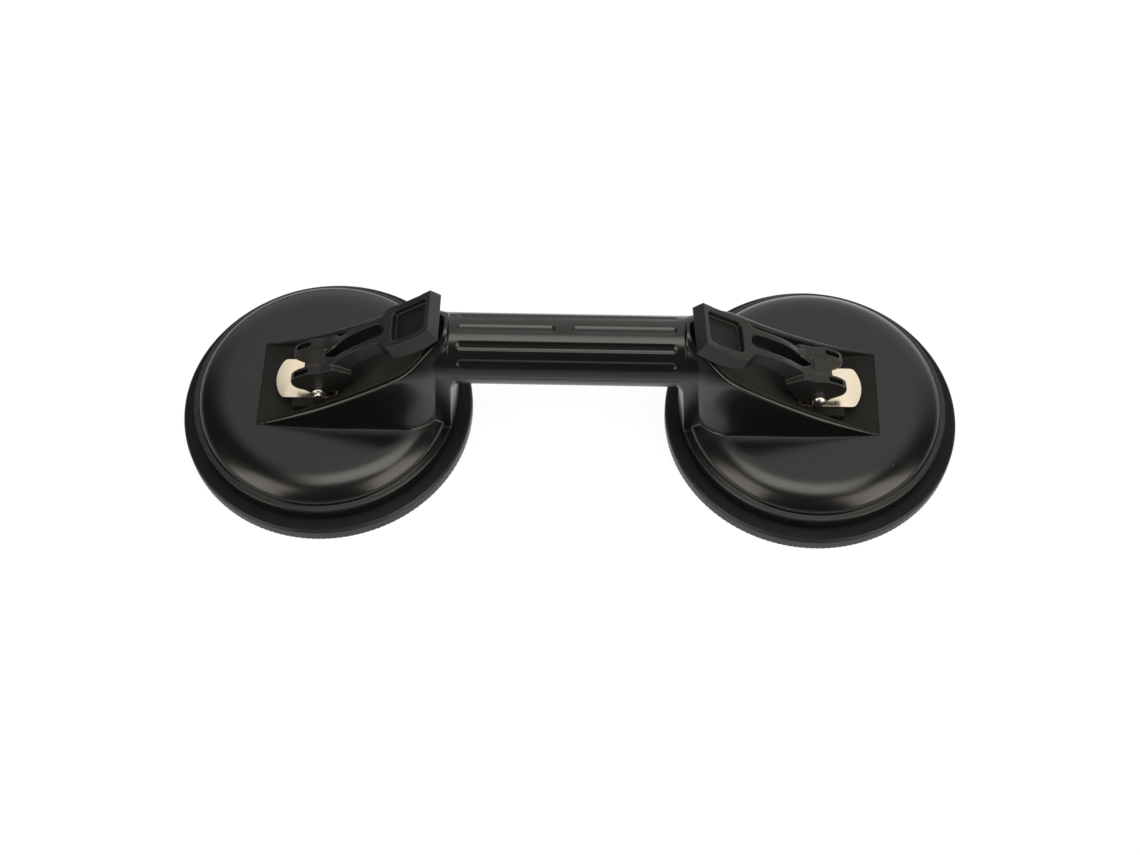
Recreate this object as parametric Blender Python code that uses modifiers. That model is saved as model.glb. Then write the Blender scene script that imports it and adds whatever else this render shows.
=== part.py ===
"""Double-cup vacuum suction lifter, modelled at its real size in metres, +Z up.

The object stands on its two rubber discs at z = 0. The bar handle runs along X above them, and the
origin is on the floor, midway between the cups. Both cups hold the same mechanism: a cam lever turns
on a cross pin and lifts a stud, which pulls the middle of the rubber disc up against a return spring.

Everything that belongs to one cup is modelled in that cup's own frame: the origin is the cup's centre
on the floor, and local +X points inboard, towards the handle. The right cup is the left one turned
half a turn about Z.
"""

import math

import bmesh
import bpy
from mathutils import Matrix

# ---------------------------------------------------------------- driving dimensions, in metres
CUP_SPACING = 0.200          # between the two cup centres
GAP = 0.0003                 # clearance between pieces that touch

DISC_RADIUS = 0.060          # rubber disc
DISC_RIM_THICKNESS = 0.007
DISC_RIM_WIDTH = 0.013
DISC_RIM_CHAMFER = 0.0006
DISC_WEB_THICKNESS = 0.004   # the part of the disc that bends
DISC_DISH = 0.0010           # how far the underside is hollowed at the middle
HUB_WALL = 0.003             # rubber around the anchor plate
HUB_LIP = 0.007              # how far the rubber lip reaches over the anchor plate

ANCHOR_RADIUS = 0.0183
ANCHOR_THICKNESS = 0.0028

RUBBER_LEDGE = 0.0057        # ring of the disc left bare outside the housing's flange
FLANGE_HEIGHT = 0.0065
LEDGE_WIDTH = 0.0023         # step from the flange in to the dome
DOME_RISE = 0.0077           # dome top above the flange's ledge
SHOULDER_RADIUS = 0.0078
SHELL_WALL = 0.003

BAR_RADIUS = 0.014
BAR_WALL = 0.003
BAR_AXIS_HEIGHT = 0.051
COVER_CHEEK = 0.0015         # wall left on each side of the cover in the neck's inboard face
COVER_FOOT_RISE = 0.0007     # cover's lower end above the flange's ledge
GROOVE_WIDTH = 0.0030        # rounded grip grooves along the bar
GROOVE_DEPTH = 0.0006
GROOVE_REACH = 0.0425        # groove ends from the middle of the bar
GROOVE_ANGLES = (-60, -30, 0, 30, 60)   # from the top of the bar, degrees
GROOVE_BREAK = 0.0035        # half of the bare stretch in the middle of the top groove

COLLAR_STEP = 0.003          # collar radius over the bar's radius
NECK_FACE_INSET = 0.0013     # neck's inboard face, inside the flange's edge
NECK_HALF_WIDTH = 0.0207
NECK_OUTER_HALF_WIDTH = 0.0195
NECK_WAIST_HEIGHT = 0.045
WEB_STEP = 0.0002            # web face proud of the bar
CREASE_LENGTH = 0.010        # how far the neck takes to narrow into its web
CREASE_INSET = 0.0042        # crease outboard of the neck's inboard face
CREASE_LEAN = 0.003          # how far the crease moves outboard from the bar's axis down to the floor

SCOOP_START = -0.0255        # outboard edge of the scoop
SCOOP_END_WALL = 0.0065      # collar left standing behind the scoop
SCOOP_RIM = 0.0028
SCOOP_STEP = 0.0006          # floor below the dome's top
SCOOP_END_RISE = 0.005086651260035109   # scoop floor's inboard end above the bar's axis
SCOOP_CURL_RISE = 0.005398965662051429   # scoop floor's climb as far as the wear plate's curled end
SCOOP_BEND_WIDTH = 0.006
SCOOP_CORNER = 0.0025        # rounding where the floor meets the side walls
RIDGE_BOW = 0.45             # share of the ridge's rise that is curved
RIDGE_SHY = 0.0008           # top of the ridge ends this far short of the neck's inboard face

BOSS_START = -0.0115
BOSS_END = 0.005
BOSS_HALF_WIDTH = 0.0124
BOSS_HEIGHT = 0.0032         # over the dome's top

PLATE_THICKNESS = 0.0010
PLATE_HALF_WIDTH = 0.009
PLATE_OUTER_X = -0.0185
PLATE_BOW_RADIUS = 0.0150
PLATE_CORNER = 0.0012
PLATE_CURL_X = 0.002
PLATE_CURL_RADIUS = 0.006
PLATE_CURL_ANGLE = math.radians(52.0)

STUD_RADIUS = 0.004
STUD_SPIGOT_RADIUS = 0.003
STUD_HEAD = 0.0042           # stud's top over the pin's axis
GUIDE_CLEARANCE = 0.0004

SPRING_RADIUS = 0.0076       # to the wire's centre
SPRING_WIRE_RADIUS = 0.0006
SPRING_TURNS = 3.25
SPRING_POCKET_RADIUS = 0.0095
SPRING_POCKET_ROOF = 0.0027
WASHER_RADIUS = 0.0095
WASHER_THICKNESS = 0.0010

PIN_RADIUS = 0.002
PIN_OVER_PLATE = 0.004       # pin's axis over the wear plate
PIN_HEAD_RADIUS = 0.0028
PIN_HEAD_HEIGHT = 0.0016
PIN_GROOVE_DEPTH = 0.0005
PIN_GROOVE_WIDTH = 0.0012
PIN_TAIL = 0.0009
RING_THICKNESS = 0.0006
RING_WIDTH = 0.0009

CAM_HALF_WIDTH = 0.0083
CAM_LOBE_WIDTH = 0.004
CAM_LOBE_REACH = 0.0115      # from the pin's axis to the lobe's lower corner
CROSSBAR_START = -0.005      # outboard face of the bar that joins the lobes
LEVER_LENGTH = 0.0502        # from the pin's axis to the lever's end, level
LEVER_RISE = 0.0455          # from the pin's axis to the top of the thumb pad
ARM_HALF_WIDTH = 0.0058
ARM_SLOT_HALF_WIDTH = 0.0026
PAD_HALF_WIDTH = 0.0098
PAD_RECESS_DEPTH = 0.0016
PAD_RIM = 0.0025
RIGHT_STUD_TURN = math.radians(4.5)   # the right stud and lever rest turned this far about the stud

# Side view of the arm as shares of the lever's length and rise: its top line from the crossbar to the
# end of the thumb pad, and its underside from the pad's end back to the cam.
ARM_TOP_SHARES = (
    (-0.100, 0.257), (-0.040, 0.279), (0.030, 0.297), (0.096, 0.334), (0.175, 0.400), (0.249, 0.492),
    (0.327, 0.569), (0.430, 0.651), (0.528, 0.712), (0.604, 0.756), (0.727, 0.829), (0.853, 0.919),
    (0.938, 1.000),
)
ARM_UNDER_SHARES = (
    (1.000, 0.897), (0.886, 0.780), (0.767, 0.686), (0.647, 0.620), (0.538, 0.563), (0.418, 0.473),
    (0.339, 0.378), (0.283, 0.264), (0.185, 0.057), (0.094, -0.035),
)
PAD_START_SHARE = ARM_TOP_SHARES[9]       # where the arm widens into the thumb pad
PAD_TIP_SHARE = ARM_TOP_SHARES[-1]

ROUND_STEPS = 64
SMALL_STEPS = 24

# ---------------------------------------------------------------- sizes that follow from them
CUP_X = CUP_SPACING / 2
FLANGE_BOTTOM = DISC_RIM_THICKNESS + GAP
FLANGE_RADIUS = DISC_RADIUS - RUBBER_LEDGE
LEDGE_HEIGHT = FLANGE_BOTTOM + FLANGE_HEIGHT
DOME_RADIUS = FLANGE_RADIUS - LEDGE_WIDTH
DOME_TOP = LEDGE_HEIGHT + DOME_RISE
COLLAR_RADIUS = BAR_RADIUS + COLLAR_STEP
COLLAR_TOP = BAR_AXIS_HEIGHT + COLLAR_RADIUS
WEB_HALF_WIDTH = BAR_RADIUS + WEB_STEP
NECK_FACE = FLANGE_RADIUS - NECK_FACE_INSET
CREASE = NECK_FACE - CREASE_INSET
RIDGE_END = NECK_FACE - RIDGE_SHY
SCOOP_END = NECK_FACE - SCOOP_END_WALL
BORE_RADIUS = BAR_RADIUS - BAR_WALL
COVER_TOP = BAR_AXIS_HEIGHT - GAP         # the bar parts just under its widest line
COVER_HALF_WIDTH = WEB_HALF_WIDTH - COVER_CHEEK
SCOOP_FLOOR = DOME_TOP - SCOOP_STEP
SCOOP_CLIMB = BAR_AXIS_HEIGHT + SCOOP_END_RISE - SCOOP_FLOOR
CURL_END_X = PLATE_CURL_X + PLATE_CURL_RADIUS * math.sin(PLATE_CURL_ANGLE)
# The floor's slope and its bend follow from the two heights: under the curl and at the inboard end.
BEND_TERM = SCOOP_BEND_WIDTH ** 2 / 4 * (1 / SCOOP_CURL_RISE - 1 / SCOOP_CLIMB)
SCOOP_RUN = SCOOP_END - CURL_END_X
SCOOP_SLOPE = (SCOOP_RUN - math.sqrt(SCOOP_RUN ** 2 - 4 * (SCOOP_CLIMB - SCOOP_CURL_RISE) * BEND_TERM)) / (2 * BEND_TERM)
CURL_RUN = SCOOP_CURL_RISE / SCOOP_SLOPE
SCOOP_BEND_X = CURL_END_X - (CURL_RUN - SCOOP_BEND_WIDTH ** 2 / (4 * CURL_RUN))
PLATE_TOP = DOME_TOP + BOSS_HEIGHT + GAP + PLATE_THICKNESS
PIN_HEIGHT = PLATE_TOP + PIN_OVER_PLATE
ANCHOR_BOTTOM = DISC_DISH + DISC_WEB_THICKNESS - HUB_WALL / 2 + GAP
ANCHOR_TOP = ANCHOR_BOTTOM + ANCHOR_THICKNESS
WASHER_BOTTOM = ANCHOR_TOP + GAP
WASHER_TOP = WASHER_BOTTOM + WASHER_THICKNESS
SPRING_ROOF = DOME_TOP + BOSS_HEIGHT - SPRING_POCKET_ROOF
GUIDE_RADIUS = STUD_RADIUS + GUIDE_CLEARANCE
PIN_BORE_RADIUS = PIN_RADIUS + GAP


# ---------------------------------------------------------------- scene and materials
def clear_scene():
    for obj in list(bpy.data.objects):
        bpy.data.objects.remove(obj, do_unlink=True)


def make_collection(name):
    collection = bpy.data.collections.new(name)
    bpy.context.scene.collection.children.link(collection)
    return collection


def make_material(name, colour, roughness, metallic=0.0):
    material = bpy.data.materials.new(name)
    material.use_nodes = True
    shader = material.node_tree.nodes["Principled BSDF"]
    shader.inputs["Base Color"].default_value = (*colour, 1.0)
    shader.inputs["Roughness"].default_value = roughness
    shader.inputs["Metallic"].default_value = metallic
    return material


clear_scene()
PARTS = make_collection("vacuum_suction_lifter")
CUTTERS = make_collection("cutters")
BLACK_ABS = make_material("black_abs", (0.020, 0.020, 0.019), 0.42)
COVER_ABS = make_material("cover_abs", (0.030, 0.030, 0.029), 0.50)
LEVER_NYLON = make_material("lever_nylon", (0.017, 0.017, 0.017), 0.55)
RUBBER = make_material("rubber", (0.022, 0.023, 0.025), 0.65)
NICKEL = make_material("nickel_plate", (0.78, 0.72, 0.62), 0.22, 1.0)
STEEL = make_material("zinc_steel", (0.55, 0.55, 0.53), 0.35, 1.0)
SPRING_STEEL = make_material("spring_steel", (0.35, 0.35, 0.36), 0.30, 1.0)


# ---------------------------------------------------------------- modelling helpers
def add_object(name, data, collection, material=None):
    obj = bpy.data.objects.new(name, data)
    collection.objects.link(obj)
    if material is not None:
        obj.data.materials.append(material)
    if collection == CUTTERS:
        obj.hide_render = True
        obj.display_type = "WIRE"
    return obj


def add_bmesh(name, bm, collection, material=None):
    bmesh.ops.recalc_face_normals(bm, faces=bm.faces)
    mesh = bpy.data.meshes.new(name)
    bm.to_mesh(mesh)
    bm.free()
    return add_object(name, mesh, collection, material)


def prism(name, outline, axis, low, high, collection, material=None):
    """Extrudes a flat outline along an axis: "Y" takes (x, z) points, "Z" takes (x, y) points."""
    bm = bmesh.new()
    place = {"Y": lambda a, b: (a, low, b), "Z": lambda a, b: (a, b, low)}[axis]
    push = {"Y": (0, high - low, 0), "Z": (0, 0, high - low)}[axis]
    face = bm.faces.new([bm.verts.new(place(a, b)) for a, b in outline])
    top = bmesh.ops.extrude_face_region(bm, geom=[face])
    moved = [v for v in top["geom"] if isinstance(v, bmesh.types.BMVert)]
    bmesh.ops.translate(bm, verts=moved, vec=push)
    return add_bmesh(name, bm, collection, material)


def block(name, low, high, collection, material=None):
    bm = bmesh.new()
    size = [b - a for a, b in zip(low, high)]
    centre = [(a + b) / 2 for a, b in zip(low, high)]
    bmesh.ops.create_cube(bm, size=1.0, matrix=Matrix.Translation(centre) @ Matrix.Diagonal((*size, 1)))
    return add_bmesh(name, bm, collection, material)


def cylinder(name, radius, start, end, axis, collection, material=None, steps=SMALL_STEPS):
    """A cylinder along X, Y or Z from start to end, two points on its axis."""
    bm = bmesh.new()
    turn = {
        "X": Matrix.Rotation(math.pi / 2, 4, "Y"),
        "Y": Matrix.Rotation(-math.pi / 2, 4, "X"),
        "Z": Matrix.Identity(4),
    }[axis]
    centre = [(a + b) / 2 for a, b in zip(start, end)]
    depth = math.dist(start, end)
    bmesh.ops.create_cone(
        bm, cap_ends=True, segments=steps, radius1=radius, radius2=radius, depth=depth,
        matrix=Matrix.Translation(centre) @ turn,
    )
    return add_bmesh(name, bm, collection, material)


def turned(name, profile, collection, material=None, steps=ROUND_STEPS):
    """Turns (radius, z) points about Z with a Screw modifier, then keeps the result as a mesh.

    A profile that starts and ends on the axis stays open there; any other is joined into a ring.
    """
    mesh = bpy.data.meshes.new(name)
    count = len(profile)
    on_axis = profile[0][0] == 0 and profile[-1][0] == 0
    edges = [(i, (i + 1) % count) for i in range(count - 1 if on_axis else count)]
    mesh.from_pydata([(r, 0, z) for r, z in profile], edges, [])
    obj = add_object(name, mesh, collection, material)
    screw = obj.modifiers.new("turn", "SCREW")
    screw.steps = steps
    screw.render_steps = steps
    screw.use_merge_vertices = True
    screw.merge_threshold = 0.00001
    bake(obj)
    bm = bmesh.new()
    bm.from_mesh(obj.data)
    bmesh.ops.recalc_face_normals(bm, faces=bm.faces)
    bm.to_mesh(obj.data)
    bm.free()
    return obj


def boolean(obj, other, operation):
    modifier = obj.modifiers.new(operation.lower() + "_" + other.name, "BOOLEAN")
    modifier.object = other
    modifier.operation = operation
    modifier.solver = "EXACT"


def bake(obj):
    """Replaces an object's mesh with what its modifiers make of it."""
    graph = bpy.context.evaluated_depsgraph_get()
    mesh = bpy.data.meshes.new_from_object(obj.evaluated_get(graph))
    obj.modifiers.clear()
    obj.data = mesh
    mesh.name = obj.name


def smooth(obj, angle=math.radians(35.0)):
    obj.data.shade_smooth()
    obj.data.set_sharp_from_angle(angle=angle)


def blend(t):
    """A smooth step from 0 to 1."""
    t = min(1.0, max(0.0, t))
    return t * t * (3 - 2 * t)


def arc(centre, radius, start, end, steps):
    """Points on an arc, angles in degrees."""
    points = []
    for i in range(steps + 1):
        angle = math.radians(start + (end - start) * i / steps)
        points.append((centre[0] + radius * math.cos(angle), centre[1] + radius * math.sin(angle)))
    return points


# ---------------------------------------------------------------- curves of the neck
def ridge_height(x):
    """Height of the scoop's ridge, from the dome's top up to the top of the collar."""
    u = (x - SCOOP_START) / (RIDGE_END - SCOOP_START)
    return DOME_TOP + (COLLAR_TOP - DOME_TOP) * ((1 - RIDGE_BOW) * u + RIDGE_BOW * u * abs(u))


def floor_height(x):
    """Height of the scoop's floor: level outboard, then a straight climb, with a soft bend between."""
    s = x - SCOOP_BEND_X
    return SCOOP_FLOOR + SCOOP_SLOPE * (s + math.hypot(s, SCOOP_BEND_WIDTH)) / 2


def neck_half_width(x, z, from_top):
    """Half width of the neck; from_top is the angle from the collar's top, 90 degrees below the axis."""
    outer = min(1.0, max(0.0, (x - SCOOP_START) / -SCOOP_START))
    base = NECK_OUTER_HALF_WIDTH + (NECK_HALF_WIDTH - NECK_OUTER_HALF_WIDTH) * outer
    waist = COLLAR_RADIUS + (base - COLLAR_RADIUS) * 0.35 * (1 - outer * blend(x / CREASE))
    flare = min(1.0, max(0.0, (NECK_WAIST_HEIGHT - z) / (NECK_WAIST_HEIGHT - DOME_TOP)))
    full = waist + (base - waist) * flare ** 3
    side = blend(from_top / math.radians(65.0))
    depth = max(0.0, BAR_AXIS_HEIGHT - z) / BAR_AXIS_HEIGHT
    crease = NECK_FACE + (CREASE - NECK_FACE) * side - CREASE_LEAN * depth
    length = CREASE_LENGTH * (0.15 + 0.85 * side)
    return WEB_HALF_WIDTH + (full - WEB_HALF_WIDTH) * blend((crease - x) / length)


def rim_width(x):
    """Width of the rim beside the scoop, thin outboard and full by the pin."""
    return SCOOP_RIM * (0.35 + 0.65 * blend((x - SCOOP_START) / -SCOOP_START))


def section_loft(name, stations, section, collection):
    """Joins closed sections, one for each local x, into one solid with flat ends."""
    bm = bmesh.new()
    loops = [[bm.verts.new((x, y, z)) for y, z in section(x)] for x in stations]
    count = len(loops[0])
    for a, b in zip(loops, loops[1:]):
        for i in range(count):
            j = (i + 1) % count
            bm.faces.new((a[i], a[j], b[j], b[i]))
    bm.faces.new(loops[0])
    bm.faces.new(loops[-1])
    return add_bmesh(name, bm, collection)


def neck_section(x):
    """Outline of the neck across the cup: foot, flared side, round top, and back down."""
    side = []
    levels = 7
    for i in range(levels):
        z = FLANGE_BOTTOM + GAP + (BAR_AXIS_HEIGHT - FLANGE_BOTTOM - GAP) * i / levels
        side.append((neck_half_width(x, z, math.pi / 2), z))
    top = []
    arcs = 12
    for i in range(arcs + 1):
        angle = math.pi * i / arcs
        radius = neck_half_width(x, BAR_AXIS_HEIGHT, abs(math.pi / 2 - angle))
        top.append((radius * math.cos(angle), BAR_AXIS_HEIGHT + radius * math.sin(angle)))
    return side + top + [(-y, z) for y, z in reversed(side)]


def scoop_section(x):
    """Outline of the hollow above the scoop's floor, a rim's width inside the neck and its arch."""
    low = floor_height(x)
    near, far = SCOOP_CORNER * 0.3, SCOOP_CORNER
    climb = max(0.0, low + 2 * far - BAR_AXIS_HEIGHT)
    start = math.asin(climb / (COLLAR_RADIUS - SCOOP_RIM))
    top = []
    arcs = 12
    for i in range(arcs + 1):
        angle = start + (math.pi - 2 * start) * i / arcs
        radius = neck_half_width(x, BAR_AXIS_HEIGHT, abs(math.pi / 2 - angle)) - rim_width(x)
        top.append((radius * math.cos(angle), BAR_AXIS_HEIGHT + radius * math.sin(angle)))
    half = top[0][0]
    if climb == 0:
        half = neck_half_width(x, ridge_height(x), math.pi / 2) - rim_width(x)
    corner = [(half - far, low), (half - near, low + near), (half, low + far)]
    return corner + top + [(-y, z) for y, z in reversed(corner)]


def spaced(values, start, end):
    return [start + (end - start) * v for v in values]


# ---------------------------------------------------------------- body shell and its cover
def dome_outer():
    shoulder = arc((DOME_RADIUS - SHOULDER_RADIUS, DOME_TOP - SHOULDER_RADIUS), SHOULDER_RADIUS, 90, 0, 7)
    profile = [(0, DOME_TOP)] + shoulder
    profile += [(DOME_RADIUS, LEDGE_HEIGHT), (FLANGE_RADIUS, LEDGE_HEIGHT), (FLANGE_RADIUS, FLANGE_BOTTOM)]
    profile += [(0, FLANGE_BOTTOM)]
    return profile


def dome_cavity():
    """Hollow of one housing, with the spring's pocket and the stud's guide hole above its roof."""
    inner = DOME_RADIUS - SHELL_WALL
    shoulder = max(SHOULDER_RADIUS - SHELL_WALL, 0.001)
    roof = DOME_TOP - SHELL_WALL
    above = PLATE_TOP + STUD_HEAD
    profile = [(0, above), (GUIDE_RADIUS, above), (GUIDE_RADIUS, SPRING_ROOF),
               (SPRING_POCKET_RADIUS, SPRING_ROOF), (SPRING_POCKET_RADIUS, roof)]
    profile += arc((inner - shoulder, roof - shoulder), shoulder, 90, 0, 4)
    return profile + [(inner, FLANGE_BOTTOM - 0.002), (0, FLANGE_BOTTOM - 0.002)]


def in_cup_frame(obj):
    """Moves a piece modelled about its cup's centre to the left cup."""
    obj.data.transform(Matrix.Translation((-CUP_X, 0, 0)))
    return obj


def mirror_half(obj):
    """Cuts a piece at the middle of the handle and mirrors its left half."""
    modifier = obj.modifiers.new("mirror", "MIRROR")
    modifier.use_axis = (True, False, False)
    modifier.use_bisect_axis = (True, False, False)
    modifier.use_bisect_flip_axis = (True, False, False)
    modifier.merge_threshold = 0.00005


def make_grooves(past_middle):
    """Cutters for the bar's grip grooves: one row for each angle, the top row broken in the middle."""
    rows = []
    for angle in GROOVE_ANGLES:
        end = CUP_X - GROOVE_BREAK if angle == 0 else past_middle
        half = GROOVE_WIDTH / 2
        outline = arc((CUP_X - GROOVE_REACH + half, 0), half, 90, 270, 5)
        if angle == 0:
            outline += arc((end - half, 0), half, -90, 90, 5)
        else:
            outline += [(end, -half), (end, half)]
        row = prism(
            f"groove_{angle}", outline, "Z", BAR_RADIUS - GROOVE_DEPTH, BAR_RADIUS + GROOVE_WIDTH, CUTTERS,
        )
        lift = Matrix.Translation((0, 0, BAR_AXIS_HEIGHT))
        row.data.transform(lift @ Matrix.Rotation(math.radians(angle), 4, "X"))
        rows.append(in_cup_frame(row))
    return rows


def make_body():
    past_middle = CUP_X + GROOVE_BREAK
    cover_inner = NECK_FACE - SHELL_WALL
    neck_stations = spaced(
        [0, 0.10, 0.21, 0.33, 0.46, 0.58, 0.68, 0.75, 0.80, 0.84, 0.88, 0.91, 0.94, 0.965, 0.985, 1.0],
        SCOOP_START, NECK_FACE,
    )
    neck = in_cup_frame(section_loft("neck_outer", neck_stations, neck_section, CUTTERS))
    above = 2 * COLLAR_TOP
    ridge = [(x, ridge_height(x)) for x in spaced([i / 20 for i in range(22)], SCOOP_START, RIDGE_END)]
    ridge[0] = (SCOOP_START - 3 * GAP, DOME_TOP - GAP)
    ridge_cutter = prism(
        "above_the_ridge", ridge + [(ridge[-1][0], above), (ridge[0][0], above)], "Y",
        -DISC_RADIUS, DISC_RADIUS, CUTTERS,
    )
    boolean(neck, in_cup_frame(ridge_cutter), "DIFFERENCE")
    bake(neck)

    bar = cylinder(
        "bar_outer", BAR_RADIUS, (cover_inner, 0, BAR_AXIS_HEIGHT), (past_middle, 0, BAR_AXIS_HEIGHT),
        "X", CUTTERS, steps=40,
    )
    in_cup_frame(bar)
    for groove in make_grooves(CUP_X + BAR_RADIUS):
        boolean(bar, groove, "DIFFERENCE")
    bake(bar)
    scoop_stations = spaced([0, 0.08, 0.2, 0.3, 0.38, 0.46, 0.54, 0.64, 0.74, 0.84, 0.93, 1.0],
                            SCOOP_START + 2 * GAP, SCOOP_END)
    scoop = in_cup_frame(section_loft("scoop_hollow", scoop_stations, scoop_section, CUTTERS))
    boss = block(
        "boss_block", (BOSS_START, -BOSS_HALF_WIDTH, DOME_TOP - SHELL_WALL / 2),
        (BOSS_END, BOSS_HALF_WIDTH, DOME_TOP + BOSS_HEIGHT), CUTTERS,
    )
    in_cup_frame(boss)

    cavity = in_cup_frame(turned("dome_hollow", dome_cavity(), CUTTERS))
    void_end = cover_inner + GAP / 2
    under = spaced([0, 0.2, 0.4, 0.6, 0.8, 1.0], GUIDE_RADIUS + SHELL_WALL, SCOOP_END)
    neck_void_outline = [(x, floor_height(x) - SHELL_WALL) for x in under]
    neck_void_outline += [(SCOOP_END + SHELL_WALL, BAR_AXIS_HEIGHT), (void_end, BAR_AXIS_HEIGHT - GAP)]
    neck_void_outline += [(void_end, LEDGE_HEIGHT), (under[0], LEDGE_HEIGHT)]
    neck_void = prism("neck_hollow", neck_void_outline, "Y", -BORE_RADIUS, BORE_RADIUS, CUTTERS)
    in_cup_frame(neck_void)
    bore = cylinder(
        "bar_bore", BORE_RADIUS, (SCOOP_END + SHELL_WALL, 0, BAR_AXIS_HEIGHT),
        (2 * past_middle, 0, BAR_AXIS_HEIGHT), "X", CUTTERS, steps=32,
    )
    in_cup_frame(bore)

    def cover_zone(name, inset):
        """Room for the cover: the bar below its widest line, and a slot down the neck's inboard face."""
        foot = LEDGE_HEIGHT + COVER_FOOT_RISE + inset
        half = COVER_HALF_WIDTH - inset
        wide = 2 * BAR_RADIUS
        slot = block(
            name + "_slot", (cover_inner + inset, -half, foot),
            (NECK_FACE + SHELL_WALL, half, COVER_TOP - inset), CUTTERS,
        )
        zone = block(
            name, (NECK_FACE + inset, -wide, BAR_AXIS_HEIGHT - wide),
            (2 * past_middle, wide, COVER_TOP - inset), CUTTERS,
        )
        boolean(zone, slot, "UNION")
        bake(zone)
        return in_cup_frame(zone)

    zone = cover_zone("cover_opening", 0.0)
    inner_zone = cover_zone("cover_outline", GAP)

    body = in_cup_frame(turned("body_shell", dome_outer(), PARTS, BLACK_ABS))
    for other in (neck_void, bore):
        boolean(cavity, other, "UNION")
    bake(cavity)
    for other, operation in [(neck, "UNION"), (bar, "UNION"), (scoop, "DIFFERENCE"), (boss, "UNION"),
                             (cavity, "DIFFERENCE"), (zone, "DIFFERENCE")]:
        boolean(body, other, operation)
    mirror_half(body)
    smooth(body)

    cover = add_object("handle_underside", neck.data.copy(), PARTS)
    cover.data.materials.clear()
    cover.data.materials.append(COVER_ABS)
    for other, operation in [(bar, "UNION"), (inner_zone, "INTERSECT"), (neck_void, "DIFFERENCE"),
                             (bore, "DIFFERENCE")]:
        boolean(cover, other, operation)
    mirror_half(cover)
    smooth(cover)


# ---------------------------------------------------------------- the suction disc and its draw gear
def make_rubber_disc():
    rim_inner = DISC_RADIUS - DISC_RIM_WIDTH
    web_top = DISC_DISH + DISC_WEB_THICKNESS - 0.0002
    pocket = ANCHOR_RADIUS + GAP
    hub = pocket + HUB_WALL
    hub_top = ANCHOR_TOP + GAP + HUB_WALL * 0.45
    underside = [
        (0, DISC_DISH), (rim_inner * 0.5, DISC_DISH * 0.7), (rim_inner, 0),
        (DISC_RADIUS - DISC_RIM_CHAMFER, 0),
    ]
    rim = [
        (DISC_RADIUS, DISC_RIM_CHAMFER), (DISC_RADIUS, DISC_RIM_THICKNESS),
        (rim_inner, DISC_RIM_THICKNESS), (rim_inner - 0.001, web_top),
    ]
    hub_wall = [
        (hub, web_top), (hub - 0.001, hub_top), (pocket - HUB_LIP, hub_top),
        (pocket - HUB_LIP, ANCHOR_TOP + GAP), (pocket, ANCHOR_TOP + GAP), (pocket, ANCHOR_BOTTOM - GAP),
        (0, ANCHOR_BOTTOM - GAP),
    ]
    profile = underside + rim + hub_wall
    return turned("rubber_disc", profile, PARTS, RUBBER)


def ring_profile(inner, outer, low, high):
    return [(inner, low), (outer, low), (outer, high), (inner, high)]


def make_anchor_plate():
    profile = ring_profile(STUD_SPIGOT_RADIUS + GAP, ANCHOR_RADIUS, ANCHOR_BOTTOM, ANCHOR_TOP)
    return turned("anchor_plate", profile, PARTS, STEEL, steps=40)


def make_washer():
    profile = ring_profile(GUIDE_RADIUS, WASHER_RADIUS, WASHER_BOTTOM, WASHER_TOP)
    return turned("spring_washer", profile, PARTS, STEEL, steps=32)


def make_stud():
    top = PIN_HEIGHT + STUD_HEAD
    crown = arc((0, top - STUD_RADIUS), STUD_RADIUS, 90, 0, 4)
    profile = crown + [(STUD_RADIUS, ANCHOR_TOP + GAP), (STUD_SPIGOT_RADIUS, ANCHOR_TOP + GAP),
                       (STUD_SPIGOT_RADIUS, ANCHOR_BOTTOM), (0, ANCHOR_BOTTOM)]
    stud = turned("draw_stud", profile, PARTS, STEEL, steps=SMALL_STEPS)
    reach = 2 * STUD_RADIUS
    hole = cylinder(
        "stud_cross_hole", PIN_BORE_RADIUS, (0, -reach, PIN_HEIGHT), (0, reach, PIN_HEIGHT), "Y", CUTTERS,
    )
    boolean(stud, hole, "DIFFERENCE")
    bake(stud)
    return stud


def make_spring():
    low = WASHER_TOP + GAP + SPRING_WIRE_RADIUS
    high = SPRING_ROOF - GAP - SPRING_WIRE_RADIUS
    curve = bpy.data.curves.new("return_spring", "CURVE")
    curve.dimensions = "3D"
    curve.bevel_depth = SPRING_WIRE_RADIUS
    curve.bevel_resolution = 1
    curve.use_fill_caps = True
    per_turn = 14
    count = round(SPRING_TURNS * per_turn) + 1
    spline = curve.splines.new("POLY")
    spline.points.add(count - 1)
    for i, point in enumerate(spline.points):
        share = i / (count - 1)
        angle = 2 * math.pi * SPRING_TURNS * share
        height = low + (high - low) * share
        point.co = (SPRING_RADIUS * math.cos(angle), SPRING_RADIUS * math.sin(angle), height, 1.0)
    obj = add_object("return_spring", curve, PARTS, SPRING_STEEL)
    return as_mesh(obj)


def as_mesh(curve_object):
    """Turns a bevelled curve into a closed mesh, with its caps welded on."""
    graph = bpy.context.evaluated_depsgraph_get()
    mesh = bpy.data.meshes.new_from_object(curve_object.evaluated_get(graph))
    bm = bmesh.new()
    bm.from_mesh(mesh)
    bmesh.ops.remove_doubles(bm, verts=bm.verts, dist=0.00001)
    bmesh.ops.recalc_face_normals(bm, faces=bm.faces)
    bm.to_mesh(mesh)
    bm.free()
    name = curve_object.name
    material = curve_object.data.materials[0]
    bpy.data.objects.remove(curve_object, do_unlink=True)
    mesh.materials.clear()
    obj = add_object(name, mesh, PARTS, material)
    obj.name = name
    return obj


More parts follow.
